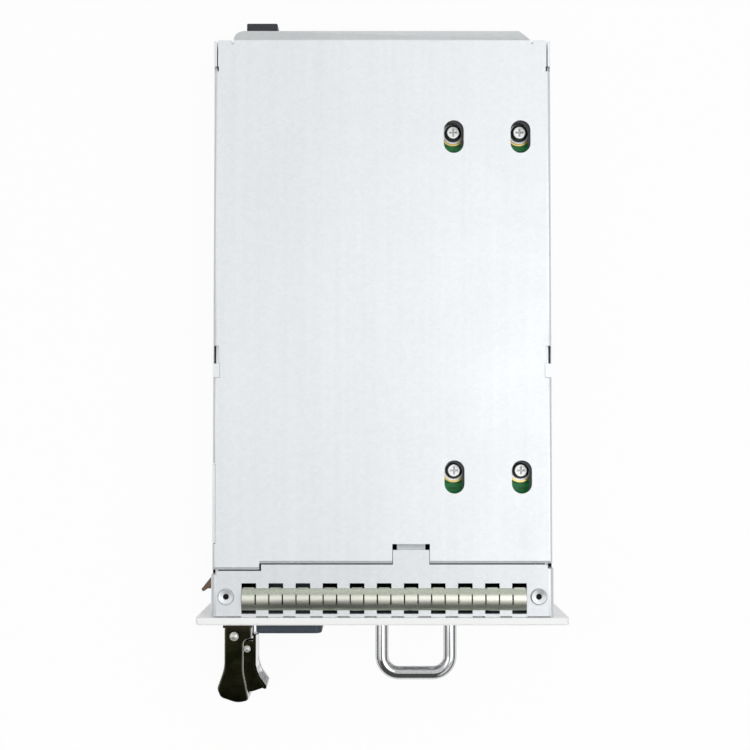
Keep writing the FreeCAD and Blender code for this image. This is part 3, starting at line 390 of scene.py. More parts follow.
@dataclass(frozen=True)
class Finish:
    """One surface finish, with the pattern that keeps it from being a single flat colour."""

    # Cells per metre of the patches in the gloss, and the relief's depth as a share of the grain
    GLOSS_PATCHES: ClassVar[Scale] = (60.0, 60.0, 60.0)
    RELIEF_DEPTH: ClassVar[float] = 0.05
    # Zinc-coated sheet: crystals per grain, the part that shows, and what lies over them
    CRYSTALS: ClassVar[float] = 0.45
    CRYSTAL_SHARE: ClassVar[float] = 0.4
    STREAKS: ClassVar[Layer] = Layer((420.0, 7.0, 420.0), share=0.25, detail=2.0)
    PATCHES: ClassVar[Layer] = Layer((22.0, 12.0, 22.0), share=0.25, detail=2.0)
    SCRATCHES: ClassVar[Layer] = Layer((1500.0, 130.0, 1500.0), share=0.12, detail=1.0, span=(0.78, 0.84))
    # Drawn metal: length of a streak in grains, and the part that shows
    DRAWN_LENGTH: ClassVar[float] = 40.0
    DRAWN_SHARE: ClassVar[float] = 0.6
    # Mottled plating: size of a cloud in grains, its edge, and the part that shows
    MOTTLE_SIZE: ClassVar[float] = 8.0
    MOTTLE_EDGE: ClassVar[Span] = (0.4, 0.62)
    MOTTLE_SHARE: ClassVar[float] = 0.75
    # Copper tracks: fields per metre, width and softness of a track, and the part that shows
    TRACK_SCALE: ClassVar[float] = 120.0
    TRACK_WIDTH: ClassVar[float] = 0.08
    TRACK_SOFTNESS: ClassVar[float] = 0.1
    TRACK_SHARE: ClassVar[float] = 0.7

    name: str
    dark: Colour
    light: Colour
    metallic: float = 0.0
    roughness: Span = (0.4, 0.5)
    grain: Grain = Grain.SPECKLE
    grain_size: float = 0.5 * MM
    relief: float = 0.15
    coat: float = 0.0
    clearness: float = 0.0
    # Painted light: highlight tone of slanted edges, highlight tone of the crest, painted shade on level
    # faces below a height, and painted reflection tone on the rear end
    painted_edge_highlight: Colour | None = None
    painted_crest_highlight: Colour | None = None
    painted_shade: Colour | None = None
    painted_shade_top: float = 0.0
    painted_rear_reflection: Colour | None = None

    def material(self) -> bpy.types.Material:
        """Returns the finish's material, made on first use."""
        if self.name not in MADE:
            MADE[self.name] = self.make()
        return MADE[self.name]

    def make(self) -> bpy.types.Material:
        """Makes the finish's material.

        Returns:
            The material.
        """
        sketch = SurfaceSketch(f"{self.name}_look")
        shader = sketch.shader
        pattern = self.pattern(sketch)
        sketch.link(self.colour(sketch, pattern), shader.inputs["Base Color"])
        gloss = sketch.remap(sketch.noise(self.GLOSS_PATCHES), CLOUD_SPAN, self.roughness)
        sketch.link(gloss, shader.inputs["Roughness"])
        shader.inputs["Metallic"].default_value = self.metallic
        shader.inputs["Coat Weight"].default_value = self.coat
        shader.inputs["Transmission Weight"].default_value = self.clearness
        sketch.relief(pattern, self.relief, self.grain_size * self.RELIEF_DEPTH)
        return sketch.material

    def colour(self, sketch: SurfaceSketch, pattern: Socket) -> Socket:
        """Turns the pattern into colours and adds the painted shade, highlights and reflection that belong
        to some places only.

        Args:
            sketch: The material that is being made.
            pattern: The pattern's value from 0 to 1.

        Returns:
            The colour.
        """
        colour = sketch.tint(pattern, self.dark, self.light)
        # Painted reflection tone towards the rear end
        if self.painted_rear_reflection is not None:
            colour = sketch.tint(sketch.rear_reflection_share(), colour, self.painted_rear_reflection)
        # Painted shade on level faces below a height
        if self.painted_shade is not None:
            colour = sketch.tint(sketch.painted_shade_share(self.painted_shade_top), colour, self.painted_shade)
        # Painted highlight on slanted edges
        if self.painted_edge_highlight is not None:
            colour = sketch.tint(sketch.slanted(), colour, self.painted_edge_highlight)
        # Painted highlight on the crest
        if self.painted_crest_highlight is not None:
            colour = sketch.tint(sketch.crest_share(), colour, self.painted_crest_highlight)
        return colour

    def pattern(self, sketch: SurfaceSketch) -> Socket:
        """Adds the finish's pattern.

        Args:
            sketch: The material that is being made.

        Returns:
            The pattern's value from 0 to 1.
        """
        fine = 1.0 / self.grain_size
        speckle = sketch.remap(sketch.noise((fine, fine, fine)), CLOUD_SPAN)
        if self.grain is Grain.SPANGLE:
            return self.spangle(sketch, speckle)
        if self.grain is Grain.TRACKS:
            return self.tracks(sketch, speckle)
        if self.grain is Grain.DRAWN:
            streaks = (fine, fine / self.DRAWN_LENGTH, fine)
            return sketch.layered(speckle, Layer(streaks, self.DRAWN_SHARE))
        if self.grain is Grain.MOTTLE:
            cloud = fine / self.MOTTLE_SIZE
            layer = Layer((cloud, cloud, cloud), self.MOTTLE_SHARE, span=self.MOTTLE_EDGE)
            return sketch.layered(speckle, layer)
        return speckle

    def spangle(self, sketch: SurfaceSketch, speckle: Socket) -> Socket:
        """Adds the crystals, rolling streaks and small scratches of zinc-coated sheet.

        Args:
            sketch: The material that is being made.
            speckle: Fine speckle of the surface.

        Returns:
            The mixed pattern.
        """
        crystals = sketch.cells(self.CRYSTALS / self.grain_size)
        sheet = sketch.blend(self.CRYSTAL_SHARE, speckle, crystals)
        for layer in (self.STREAKS, self.PATCHES, self.SCRATCHES):
            sheet = sketch.layered(sheet, layer)
        return sheet

    def tracks(self, sketch: SurfaceSketch, speckle: Socket) -> Socket:
        """Adds the copper tracks that show through a board's lacquer.

        Args:
            sketch: The material that is being made.
            speckle: Fine speckle of the surface.

        Returns:
            The mixed pattern.
        """
        bricks = sketch.add("TexBrick")
        bricks.inputs["Scale"].default_value = self.TRACK_SCALE
        bricks.inputs["Mortar Size"].default_value = self.TRACK_WIDTH
        bricks.inputs["Mortar Smooth"].default_value = self.TRACK_SOFTNESS
        sketch.link(sketch.place, bricks.inputs["Vector"])
        return sketch.blend(self.TRACK_SHARE, speckle, bricks.outputs["Fac"])


WHITE_PAINT = Finish("white_paint", (0.92, 0.93, 0.93), (0.96, 0.96, 0.955), roughness=(0.32, 0.42),
                     grain_size=0.4 * MM, relief=0.1, coat=0.15)
COVER_SHEET = Finish("cover_sheet", (0.78, 0.81, 0.83), (0.93, 0.95, 0.96), 0.75, (0.44, 0.49),
                     Grain.SPANGLE, 0.55 * MM, relief=0.12)
# The tray's level faces below 2.5 mm, the inside of its floor, get near-black painted shade
TRAY_SHEET = replace(COVER_SHEET, name="tray_sheet", painted_shade=(0.006, 0.006, 0.007), painted_shade_top=2.5 * MM)
# The collar keeps the tray's near-black painted shade, here on level faces below 36 mm: a painted shadow gap
# at its corner reliefs
COLLAR_SHEET = replace(TRAY_SHEET, name="collar_sheet", dark=(0.72, 0.75, 0.775), light=(0.86, 0.88, 0.9),
                       painted_shade_top=36.0 * MM)
# The fingers' level crest gets a pale cream painted highlight
FINGER_METAL = Finish("finger_metal", (0.39, 0.425, 0.35), (0.55, 0.58, 0.5), 1.0, (0.3, 0.4),
                      painted_crest_highlight=(0.82, 0.82, 0.73))
RIVET_METAL = Finish("rivet_metal", (0.74, 0.76, 0.78), (0.91, 0.93, 0.94), 0.9, (0.42, 0.55),
                     grain_size=0.3 * MM)
SCREW_STEEL = Finish("screw_steel", (0.78, 0.79, 0.79), (0.93, 0.94, 0.94), 1.0, (0.4, 0.5),
                     grain_size=0.25 * MM)
# The board screws get painted shade, a darker grey on their level faces below 35.3 mm
SLOT_STEEL = replace(SCREW_STEEL, name="slot_steel", painted_shade=(0.52, 0.52, 0.54), painted_shade_top=35.3 * MM)
FLAT_STEEL = replace(SCREW_STEEL, name="flat_steel", dark=(0.36, 0.37, 0.37), light=(0.52, 0.53, 0.53))
# The mandrel stubs are near-black: painted shade in the rivets' bores
SHADED_MANDREL_STEEL = Finish("mandrel_shade", (0.001, 0.001, 0.001), (0.006, 0.006, 0.006), 0.5, (0.6, 0.75))
# The spring washers are near-black: painted shade in the ring round each board screw's head
WASHER_SHADE_STEEL = Finish("washer_shade_steel", (0.015, 0.015, 0.016), (0.06, 0.06, 0.062), 0.8, (0.35, 0.5),
                    grain_size=0.3 * MM)
PIN_STEEL = Finish("pin_steel", (0.5, 0.5, 0.47), (0.86, 0.86, 0.84), 1.0, (0.32, 0.45))
GREY_FILM = Finish("grey_film", (0.02, 0.023, 0.028), (0.045, 0.05, 0.058), roughness=(0.45, 0.55))
GREEN_BOARD = Finish("green_board", (0.001, 0.19, 0.036), (0.004, 0.37, 0.08), grain=Grain.TRACKS)
PAD_GOLD = Finish("pad_gold", (0.62, 0.45, 0.13), (0.82, 0.63, 0.26), 1.0, (0.22, 0.32),
                  grain_size=0.3 * MM)
PILLAR_BRASS = Finish("pillar_brass", (0.5, 0.38, 0.14), (0.72, 0.58, 0.28), 1.0, (0.25, 0.4), Grain.DRAWN)
CAN_SLEEVE = Finish("can_sleeve", (0.012, 0.015, 0.025), (0.03, 0.034, 0.05), roughness=(0.25, 0.35),
                    coat=0.4)
FERRITE = Finish("ferrite", (0.03, 0.03, 0.032), (0.075, 0.075, 0.078), 0.2, (0.5, 0.65))
WINDING_TAPE = Finish("winding_tape", (0.55, 0.4, 0.03), (0.72, 0.56, 0.08), roughness=(0.35, 0.5),
                      grain=Grain.DRAWN, coat=0.2)
WINDING_WIRE = Finish("winding_wire", (0.36, 0.11, 0.03), (0.6, 0.22, 0.07), 0.9, (0.2, 0.32),
                      grain_size=0.3 * MM)
SINK_ALUMINIUM = Finish("sink_aluminium", (0.52, 0.53, 0.55), (0.7, 0.71, 0.73), 0.95, (0.3, 0.45),
                        Grain.DRAWN)
CASE_BLACK = Finish("case_black", (0.012, 0.012, 0.012), (0.035, 0.035, 0.035), roughness=(0.5, 0.65))
SLATE_PLASTIC = Finish("slate_plastic", (0.02, 0.032, 0.048), (0.045, 0.062, 0.085),
                       roughness=(0.42, 0.55), grain_size=0.35 * MM, relief=0.25)
PIN_NICKEL = Finish("pin_nickel", (0.6, 0.57, 0.48), (0.76, 0.73, 0.62), 1.0, (0.2, 0.3),
                    grain_size=0.3 * MM)
CHROME = Finish("chrome", (0.5, 0.51, 0.52), (0.72, 0.73, 0.74), 1.0, (0.05, 0.12), Grain.DRAWN, relief=0.03)
# The black nickel's slanted edges get a pale painted highlight
BLACK_NICKEL = Finish("black_nickel", (0.009, 0.01, 0.003), (0.03, 0.03, 0.013), 1.0, (0.12, 0.22),
                      Grain.MOTTLE, 0.6 * MM, relief=0.05, coat=0.2, painted_edge_highlight=(0.8, 0.8, 0.8))
# The lever's rear end gets a reddish painted reflection
LEVER_NICKEL = replace(BLACK_NICKEL, name="lever_nickel", painted_rear_reflection=(0.2, 0.14, 0.1))
LAMP_LENS = Finish("lamp_lens", (0.78, 0.82, 0.8), (0.88, 0.9, 0.88), roughness=(0.12, 0.2), coat=0.3,
                   clearness=0.5)
CONNECTOR_PLASTIC = Finish("connector_plastic", (0.015, 0.017, 0.024), (0.036, 0.039, 0.052),
                           roughness=(0.45, 0.6))


@dataclass
class Shell:
    """Points and faces of one piece that is being made."""

    corners: list[Vector] = field(default_factory=list)
    faces: list[tuple[int, ...]] = field(default_factory=list)

    def ring(self, middle: Vector, axes: tuple[Vector, Vector], radius: float, sides: int,
             start: float = 0.0) -> int:
        """Adds points evenly round a circle.

        Args:
            middle: Middle of the circle.
            axes: Two directions in its plane, square to each other.
            radius: Its radius.
            sides: Number of points.
            start: Angle of the first point.

        Returns:
            Number of the first point.
        """
        first = len(self.corners)
        for side in range(sides):
            turn = start + math.tau * side / sides
            spoke = axes[0] * math.cos(turn) + axes[1] * math.sin(turn)
            self.corners.append(middle + spoke * radius)
        return first

    def join(self, near: int, far: int, sides: int) -> None:
        """Adds the faces between two rings.

        Args:
            near: Number of the first ring's first point.
            far: Number of the second ring's first point.
            sides: Number of points in a ring.
        """
        for side in range(sides):
            beside = (side + 1) % sides
            self.faces.append((near + side, near + beside, far + beside, far + side))

    def lathe(self, place: Vector, axis: Vector, profile: Profile, sides: int, start: float = 0.0,
              closed: bool = True) -> int:
        """Turns a solid from its outline.

        Args:
            place: Point on the axis from which heights count.
            axis: Direction of the axis.
            profile: Radius and height of each ring, from the foot to the top.
            sides: Number of points in a ring.
            start: Angle of the first point of each ring.
            closed: Whether the top gets a face.

        Returns:
            Number of the top ring's first point.
        """
        right = axis.orthogonal().normalized()
        axes = (right, axis.cross(right))
        rings = [self.ring(place + axis * height, axes, radius, sides, start) for radius, height in profile]
        for near, far in zip(rings, rings[1:]):
            self.join(near, far, sides)
        self.faces.append(tuple(rings[0] + side for side in reversed(range(sides))))
        if closed:
            self.faces.append(tuple(rings[-1] + side for side in range(sides)))
        return rings[-1]

    def piece(self, name: str, finish: Finish, body: str) -> bpy.types.Object:
        """Makes a smooth object that rides on a body.

        Args:
            name: Name of the piece.
            finish: The surface it gets.
            body: The body that carries it.

        Returns:
            The new object.
        """
        mesh = bpy.data.meshes.new(name)
        mesh.from_pydata(self.corners, [], self.faces)
        mesh.polygons.foreach_set("use_smooth", [True] * len(mesh.polygons))
        mesh.materials.append(finish.material())
        piece = bpy.data.objects.new(name, mesh)
        bpy.context.scene.collection.objects.link(piece)
        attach(piece, body)
        log.info("built %s", name)
        return piece


@dataclass
class FlatScrews:
    """Countersunk screws with a cross recess, in place of one CAD node."""

    name: str
    node: str
    # Radius of the head, length over all, and depth of the countersink
    head: float
    length: float
    sink: float
    rim: float = 0.1 * MM
    shank: float = 1.5 * MM
    # Recess: half an arm's length and width at the mouth, its depth, and its floor as a share of the mouth
    arm: float = 1.5 * MM
    groove: float = 0.36 * MM
    depth: float = 0.8 * MM
    taper: float = 0.55
    sides: int = 24
    # How much further each screw is turned than the one before
    turn_step: float = math.radians(37.0)
    sharp_angle: float = math.radians(30.0)

    def build(self, heads: list[tuple[Vector, Vector]]) -> None:
        """Makes the screws.

        Args:
            heads: Middle of each head's face, with the direction that it faces.
        """
        shell = Shell()
        profile = [(self.shank - self.rim, -self.length), (self.shank, self.rim - self.length),
                   (self.shank, -self.sink), (self.head, -self.rim), (self.head - self.rim, 0.0)]
        for index, (place, axis) in enumerate(heads):
            angle = self.turn_step * (index + 1)
            face = shell.lathe(place, axis, profile, self.sides, angle, closed=False)
            self.sink_recess(shell, place, axis, angle, face)
        piece = shell.piece(self.name, FLAT_STEEL, "module")
        piece.data.set_sharp_from_angle(angle=self.sharp_angle)
        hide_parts(self.node)

    def cross(self, share: float) -> list[tuple[float, float]]:
        """Returns the recess outline, with its arms shortened to a share."""
        arm, groove = self.arm * share, self.groove * share
        quarter = [(arm, -groove), (arm, groove), (groove, groove)]
        quarter_turns = ((1, 0), (0, 1), (-1, 0), (0, -1))
        return [(x * cosine - y * sine, x * sine + y * cosine)
                for cosine, sine in quarter_turns for x, y in quarter]

    def sink_recess(self, shell: Shell, place: Vector, axis: Vector, angle: float, face: int) -> None:
        """Closes a head's face round the recess and sinks the recess into it.

        Args:
            shell: The screws that are being made.
            place: Middle of the head's face.
            axis: Direction that the face looks in.
            angle: How far the recess is turned.
            face: Number of the first point round the face.
        """
        right = axis.orthogonal().normalized()
        up = axis.cross(right)
        across = right * math.cos(angle) + up * math.sin(angle)
        along = up * math.cos(angle) - right * math.sin(angle)
        mouth = len(shell.corners)
        for share, below in ((1.0, 0.0), (self.taper, self.depth)):
            shell.corners.extend(place - axis * below + across * x + along * y for x, y in self.cross(share))
        points = len(self.cross(1.0))
        floor = mouth + points
        for point in range(points):
            beside = (point + 1) % points
            # The face has two points for each point of the recess
            round_face = [face + (2 * point + step) % self.sides for step in (-1, 0, 1)]
            shell.faces.append((mouth + point, *round_face, mouth + beside))
        shell.join(mouth, floor, points)
        shell.faces.append(tuple(range(floor, floor + points)))


@dataclass
class SubAssembly:
    """Pieces that belong together, with the finish of each CAD node and the edges that are broken."""

    finishes: ClassVar[dict[str, Finish]] = {}
    edges: ClassVar[dict[str, Edge]] = {}

    def dress(self) -> None:
        """Dresses every CAD node."""
        for node, finish in self.finishes.items():
            self.dress_node(node, finish, self.edges.get(node, Edge.SHARP))

    def dress_node(self, node: str, finish: Finish, edge: Edge) -> None:
        """Gives a CAD node its finish and, where asked, broken edges.

        Args:
            node: Name of the node.
            finish: The surface it gets.
            edge: How far its edges are broken.
        """
        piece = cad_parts[node]
        piece.data.materials.clear()
        piece.data.materials.append(finish.material())
        if edge is not Edge.SHARP:
            weld = piece.modifiers.new("weld", "WELD")
            weld.merge_threshold = WELD_REACH
            bevel = piece.modifiers.new("edges", "BEVEL")
            bevel.width = edge.value
            bevel.segments = BEVEL_STEPS
            bevel.limit_method = "ANGLE"
            bevel.angle_limit = BEVEL_ANGLE
            bevel.harden_normals = False
        log.info("dressed %s with %s", node, finish.name)

    def build(self) -> None:
        """Adds the finer pieces, where there are any."""


@dataclass
class Case(SubAssembly):
    """Sheet-metal case with its faceplate, collar and fasteners."""

    finishes: ClassVar[dict[str, Finish]] = {
        "top_cover": COVER_SHEET, "front_collar": COLLAR_SHEET, "base_tray": TRAY_SHEET,
        "faceplate": WHITE_PAINT, "collar_rivets": RIVET_METAL, "contact_fingers": FINGER_METAL,
        "insulating_film": GREY_FILM}
    edges: ClassVar[dict[str, Edge]] = {
        "top_cover": Edge.DEBURRED, "front_collar": Edge.DEBURRED, "base_tray": Edge.DEBURRED,
        "faceplate": Edge.DEBURRED}
    # Flat screws: radius of a head, length of a cover screw, and depth of the two kinds of countersink
    screw_head: float = 2.6 * MM
    cover_screw: float = 3.1 * MM
    cover_sink: float = 1.0 * MM
    plate_sink: float = 1.5 * MM
    # Mandrel stubs: radius, depth of the end below the rivet's head, and length from there
    stub_radius: float = 0.95 * MM
    stub_depth: float = 0.8 * MM
    stub_length: float = 0.9 * MM
    # Radius and depth of each ring round the stub's broken, hollow end, as shares of its radius
    stub_end: tuple[tuple[float, float], ...] = ((1.0, 0.2), (0.85, 0.0), (0.55, 0.1), (0.1, 0.35))
    stub_sides: int = 24

    def build(self) -> None:
        """Builds the fasteners."""
        self.build_cover_screws()
        self.build_plate_screws()
        self.build_mandrels()

    def build_cover_screws(self) -> None:
        """Makes the screws in the cover's flanges."""
        low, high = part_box("cover_screws")
        level = (low.z + high.z) / 2
        rows = (low.y + self.screw_head, high.y - self.screw_head)
        heads = [(Vector((side * high.x, row, level)), Vector((side, 0.0, 0.0)))
                 for side in (-1.0, 1.0) for row in rows]
        screws = FlatScrews("cover_flat_screws", "cover_screws", self.screw_head, self.cover_screw,
                            self.cover_sink)
        screws.build(heads)

    def build_plate_screws(self) -> None:
        """Makes the screws at the corners of the faceplate."""
        low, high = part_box("faceplate_screws")
        columns = (low.x + self.screw_head, high.x - self.screw_head)
        levels = (low.z + self.screw_head, high.z - self.screw_head)
        heads = [(Vector((column, low.y, level)), Vector((0.0, -1.0, 0.0)))
                 for column in columns for level in levels]
        screws = FlatScrews("plate_flat_screws", "faceplate_screws", self.screw_head, high.y - low.y,
                            self.plate_sink)
        screws.build(heads)

    def build_mandrels(self) -> None:
        """Sets the broken-off mandrel into the bore of each rivet, near-black as painted shade in the bore.
        """
        low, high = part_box("collar_rivets")
        head = (high.y - low.y) / 2
        row = (high.y + low.y) / 2
        left = low.x + head
        up = Vector((0.0, 0.0, 1.0))
        out = Vector((1.0, 0.0, 0.0))
        tops = ((Vector((left, row, high.z)), up), (Vector((-left, row, high.z)), up),
                (Vector((high.x, row, low.z + head)), out))
        radius = self.stub_radius
        profile = [(radius, -self.stub_depth - self.stub_length)]
        profile += [(reach * radius, -self.stub_depth - drop * radius) for reach, drop in self.stub_end]
        shell = Shell()
        for top, axis in tops:
            shell.lathe(top, axis, profile, self.stub_sides)
        shell.piece("rivet_mandrels", SHADED_MANDREL_STEEL, "module")


@dataclass
class PowerBoard(SubAssembly):
    """Circuit board with its fixings and the power parts under it."""

    finishes: ClassVar[dict[str, Finish]] = {
        "circuit_board": GREEN_BOARD, "solder_pads": PAD_GOLD, "flat_washers": SCREW_STEEL,
        "spring_washers": WASHER_SHADE_STEEL, "board_screws": SLOT_STEEL, "board_pillars": PILLAR_BRASS,
        "bulk_capacitors": CAN_SLEEVE, "output_capacitors": CAN_SLEEVE, "transformer_core": FERRITE,
        "transformer_winding": WINDING_TAPE, "input_heat_sink": SINK_ALUMINIUM,
        "output_heat_sink": SINK_ALUMINIUM, "power_transistors": CASE_BLACK, "filter_choke": FERRITE}
    # Winding: places for a turn round the whole ring, and diameter of the wire
    turns: int = 22
    wire: float = 1.1 * MM
    wire_sides: int = 8
    wire_steps: int = 20
    # Turns that stand steeper than this sine are left out, which parts the two halves of the winding
    steepest: float = 0.94
    # Radius of the ring's bore under the wire as a share of the outer one
    bore: float = 0.38
    # How far the wire's middle stands off the ring, in wire diameters
    stand_off: float = 0.3
    # Power of the turn's outline: 1 gives an ellipse, and less gives squarer corners
    roundness: float = 0.5

    def build(self) -> None:
        """Winds the wire round the ring of the filter choke."""
        low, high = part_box("filter_choke")
        middle = (low + high) / 2
        outer = (high.y - low.y) / 2
        shell = Shell()
        for turn in range(self.turns):
            angle = math.tau * (turn + 0.5) / self.turns
            if abs(math.sin(angle)) <= self.steepest:
                self.wind(shell, middle, outer, high.x - middle.x, angle)
        shell.piece("choke_winding", WINDING_WIRE, "module")

    def wind(self, shell: Shell, middle: Vector, outer: float, half: float, angle: float) -> None:
        """Adds one turn of wire.

        Args:
            shell: The winding that is being made.
            middle: Middle of the ring.
            outer: Outer radius of the ring.
            half: Half the ring's depth.
            angle: Place of the turn round the ring.
        """
        out = Vector((0.0, math.cos(angle), math.sin(angle)))
        across = Vector((1.0, 0.0, 0.0))
        along = out.cross(across)
        inner = outer * self.bore
        centre = middle + out * (outer + inner) / 2
        lift = self.wire * self.stand_off
        reach = ((outer - inner) / 2 + lift, half + lift)
        rings = []
        for step in range(self.wire_steps):
            turn = math.tau * step / self.wire_steps
            waves = (math.cos(turn), math.sin(turn))
            shares = [math.copysign(abs(wave) ** self.roundness, wave) for wave in waves]
            spot = centre + out * shares[0] * reach[0] + across * shares[1] * reach[1]
            normal = (out * waves[0] + across * waves[1]).normalized()
            rings.append(shell.ring(spot, (normal, along), self.wire / 2, self.wire_sides))
        for near, far in zip(rings, rings[1:] + rings[:1]):
            shell.join(near, far, self.wire_sides)


@dataclass
class FrontFittings(SubAssembly):
    """Mains inlet, pull handle and lamps on the faceplate."""

    finishes: ClassVar[dict[str, Finish]] = {
        "mains_inlet": SLATE_PLASTIC, "inlet_pins": PIN_NICKEL, "pull_handle": CHROME,
        "handle_screws": SCREW_STEEL, "indicator_lamps": LAMP_LENS}
    edges: ClassVar[dict[str, Edge]] = {"mains_inlet": Edge.EASED}


@dataclass
class EjectorLever(SubAssembly):
    """Lever with its bracket, trigger, pins and spring."""

    finishes: ClassVar[dict[str, Finish]] = {
        "lever_bracket": BLACK_NICKEL, "bracket_screws": SCREW_STEEL, "ejector_lever": LEVER_NICKEL,
        "release_trigger": BLACK_NICKEL, "lever_pivot_pin": PIN_STEEL, "trigger_pin": PIN_STEEL,
        "trigger_spring": PIN_STEEL}
    edges: ClassVar[dict[str, Edge]] = {"release_trigger": Edge.EASED}
    pins: tuple[str, ...] = ("lever_pivot_pin", "trigger_pin")
    # Rings of a riveted head: share of the pin's radius, and height over its end
    head_profile: tuple[tuple[float, float], ...] = (
        (0.97, -0.05 * MM), (0.97, 0.06 * MM), (0.92, 0.13 * MM), (0.8, 0.15 * MM), (0.7, 0.03 * MM),
        (0.6, 0.03 * MM), (0.5, 0.14 * MM), (0.25, 0.2 * MM), (0.03, 0.21 * MM))
    head_sides: int = 36
    head_sharp: float = math.radians(35.0)

    def build(self) -> None:
        """Sets the riveted heads on both ends of the two pins."""
        shell = Shell()
        for pin in self.pins:
            low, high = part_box(pin)
            radius = (high.x - low.x) / 2
            profile = [(share * radius, height) for share, height in self.head_profile]
            for level, way in ((high.z, 1.0), (low.z, -1.0)):
                foot = Vector(((low.x + high.x) / 2, (low.y + high.y) / 2, level))
                shell.lathe(foot, Vector((0.0, 0.0, way)), profile, self.head_sides)
        piece = shell.piece("pin_heads", PIN_STEEL, "lever")
        piece.data.set_sharp_from_angle(angle=self.head_sharp)


@dataclass
class RearConnector(SubAssembly):
    """Blind-mate connector at the rear."""

    finishes: ClassVar[dict[str, Finish]] = {
        "rear_connector": CONNECTOR_PLASTIC, "connector_contacts": PAD_GOLD}
    edges: ClassVar[dict[str, Edge]] = {"rear_connector": Edge.DEBURRED}


@dataclass
class Softbox:
    """One large soft lamp, with its power in watts."""

    name: str
    place: Vector
    power: float
    size: float
    reflected: bool = True

    def build(self, target: Vector) -> None:
        """Makes the lamp.

        Args:
            target: The point it faces.
        """
        lamp = bpy.data.lights.new(self.name, "AREA")
        lamp.energy = self.power
        lamp.shape = "SQUARE"
        lamp.size = self.size
        holder = bpy.data.objects.new(self.name, lamp)
        holder.location = self.place
        holder.visible_glossy = self.reflected
        holder.rotation_euler = (target - self.place).to_track_quat("-Z", "Y").to_euler()
        bpy.context.scene.collection.objects.link(holder)


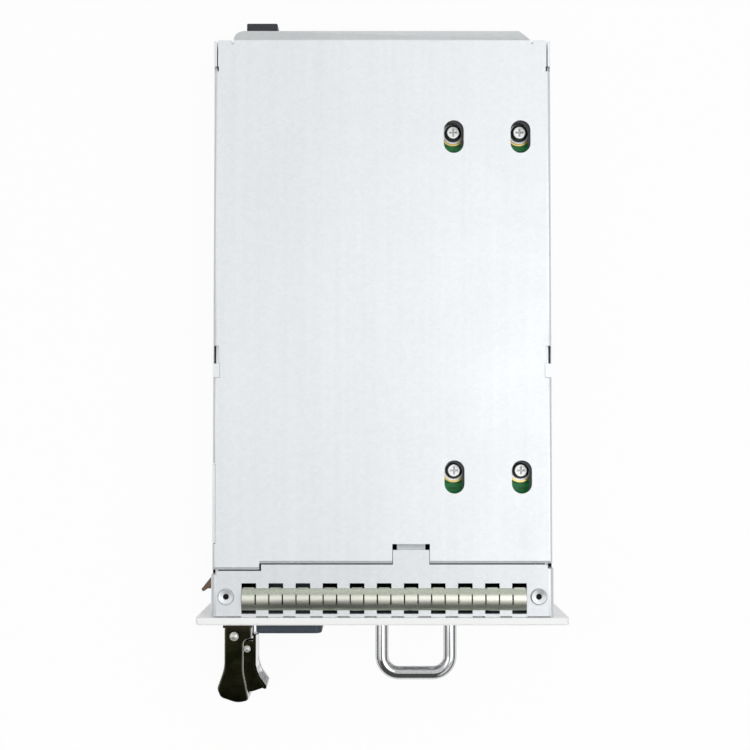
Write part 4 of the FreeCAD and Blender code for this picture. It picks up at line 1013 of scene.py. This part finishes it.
@dataclass
class Studio:
    """Floor, light and camera."""

    floor_size: float = 6.0
    floor_colour: Colour = (0.92, 0.92, 0.92)
    # Share of white in the floor, as the camera and reflections see it
    seen_share: float = 0.93
    camera_place: Vector = Vector((-2.6 * MM, -37.21 * MM, 539.6 * MM))
    camera_tilt: float = math.radians(2.292)
    nearest: float = 10.0 * MM
    # Sensor in millimetres, and the focal length in pixels of the picture's width
    sensor: float = 36.0
    focal_pixels: float = 1417.0
    image_pixels: float = 750.0
    # Height in the sky, from 0 at the horizon to 1 overhead, and brightness there
    sky_bands: tuple[Span, ...] = ((0.15, 0.04), (0.92, 0.78), (0.5, 0.64), (0.72, 0.92))
    # Dark screen in front of the object: its middle, soft sides and soft top, as parts of a direction
    screen_middle: float = -0.25
    screen_sides: Span = (0.38, 0.55)
    screen_top: Span = (-0.15, -0.118)
    screen_colour: Colour = (0.1, 0.1, 0.095)
    lamp_target: Vector = Vector((0.0, 0.0, 20.0 * MM))
    lamps: tuple[Softbox, ...] = (
        Softbox("key", Vector((0.47, -0.05, 1.04)), 2.6, 0.7),
        Softbox("fill", Vector((-0.55, -0.1, 0.95)), 1.0, 0.6),
        Softbox("rim", Vector((0.1, 1.0, 0.7)), 0.6, 0.6),
        Softbox("front", Vector((-0.1, -0.95, 0.8)), 2.4, 0.6, reflected=False))

    def build(self) -> None:
        """Builds the whole stage."""
        self.build_floor()
        self.build_sky()
        for lamp in self.lamps:
            lamp.build(self.lamp_target)
        self.build_camera()

    def build_floor(self) -> None:
        """Makes the pale floor under the object's lowest point."""
        half = self.floor_size / 2
        level = CAD_BOX[0].z
        corners = [(-half, -half, level), (half, -half, level), (half, half, level), (-half, half, level)]
        mesh = bpy.data.meshes.new("floor")
        mesh.from_pydata(corners, [], [(0, 1, 2, 3)])
        mesh.materials.append(self.floor_material())
        floor = bpy.data.objects.new("floor", mesh)
        bpy.context.scene.collection.objects.link(floor)

    def floor_material(self) -> bpy.types.Material:
        """Makes the floor's surface: matt under the light, and nearly white where it is seen.

        Returns:
            The material.
        """
        material = bpy.data.materials.new("floor")
        material.use_nodes = True
        material.node_tree.nodes.clear()
        sketch = NodeSketch(material.node_tree)
        matt = sketch.add("BsdfDiffuse")
        sketch.put(self.floor_colour, matt.inputs["Color"])
        glow = sketch.add("Emission")
        mixed = sketch.add("MixShader")
        output = sketch.add("OutputMaterial")
        share = sketch.calculate(Operation.PRODUCT, self.seen(sketch), self.seen_share)
        sketch.link(share, mixed.inputs["Fac"])
        sketch.link(matt.outputs["BSDF"], mixed.inputs[1])
        sketch.link(glow.outputs["Emission"], mixed.inputs[2])
        sketch.link(mixed.outputs["Shader"], output.inputs["Surface"])
        return material

    def seen(self, sketch: NodeSketch) -> Socket:
        """Adds the test for rays from the camera, a reflection or a refraction.

        Args:
            sketch: The nodes that are being made.

        Returns:
            One for such rays and zero for the light on the object.
        """
        rays = sketch.add("LightPath")
        result = rays.outputs["Is Camera Ray"]
        for kind in ("Is Glossy Ray", "Is Transmission Ray"):
            result = sketch.calculate(Operation.LARGER, result, rays.outputs[kind])
        return result

    def build_sky(self) -> None:
        """Makes the light all round: bright overhead, dark low down, and seen as white by the camera."""
        world = bpy.data.worlds.new("studio")
        world.use_nodes = True
        sketch = NodeSketch(world.node_tree)
        ramp = sketch.add("ValToRGB")
        ramp.color_ramp.interpolation = "EASE"
        stops = ramp.color_ramp.elements
        at_hand = len(stops)
        for index, (height, brightness) in enumerate(self.sky_bands):
            stop = stops[index] if index < at_hand else stops.new(height)
            stop.position = height
            stop.color = (brightness, brightness, brightness, 1.0)
        sketch.link(sketch.part(Place.SHARE, "Z"), ramp.inputs["Fac"])
        shaded = sketch.tint(self.screen_share(sketch), ramp.outputs["Color"], self.screen_colour)
        rays = sketch.add("LightPath")
        seen = sketch.tint(rays.outputs["Is Camera Ray"], shaded, WHITE)
        sketch.link(seen, world.node_tree.nodes["Background"].inputs["Color"])
        bpy.context.scene.world = world

    def screen_share(self, sketch: NodeSketch) -> Socket:
        """Finds the part of the sky that the dark screen covers.

        Args:
            sketch: The sky's nodes.

        Returns:
            One behind the screen and zero elsewhere.
        """
        offset = sketch.calculate(Operation.DIFFERENCE, sketch.part(Place.SHARE, "X"), self.screen_middle)
        aside = sketch.calculate(Operation.ABSOLUTE, offset)
        between = sketch.remap(aside, self.screen_sides, FALLING, smooth=True)
        below = sketch.remap(sketch.part(Place.SHARE, "Y"), self.screen_top, FALLING, smooth=True)
        return sketch.calculate(Operation.PRODUCT, between, below)

    def build_camera(self) -> None:
        """Sets the camera above the cover, tilted a little towards the rear."""
        lens = bpy.data.cameras.new("camera")
        lens.sensor_width = self.sensor
        lens.lens = self.sensor * self.focal_pixels / self.image_pixels
        lens.clip_start = self.nearest
        camera = bpy.data.objects.new("camera", lens)
        camera.location = self.camera_place
        camera.rotation_euler = (self.camera_tilt, 0.0, 0.0)
        bpy.context.scene.collection.objects.link(camera)
        bpy.context.scene.camera = camera


def main() -> None:
    """Dresses each sub-assembly, adds its finer pieces and builds the stage round them."""
    logging.basicConfig(level=logging.INFO, format="%(message)s")
    bpy.context.scene.view_settings.view_transform = "Standard"
    for assembly in (Case(), PowerBoard(), FrontFittings(), EjectorLever(), RearConnector()):
        assembly.dress()
        assembly.build()
    Studio().build()


if __name__ == "__main__":
    main()
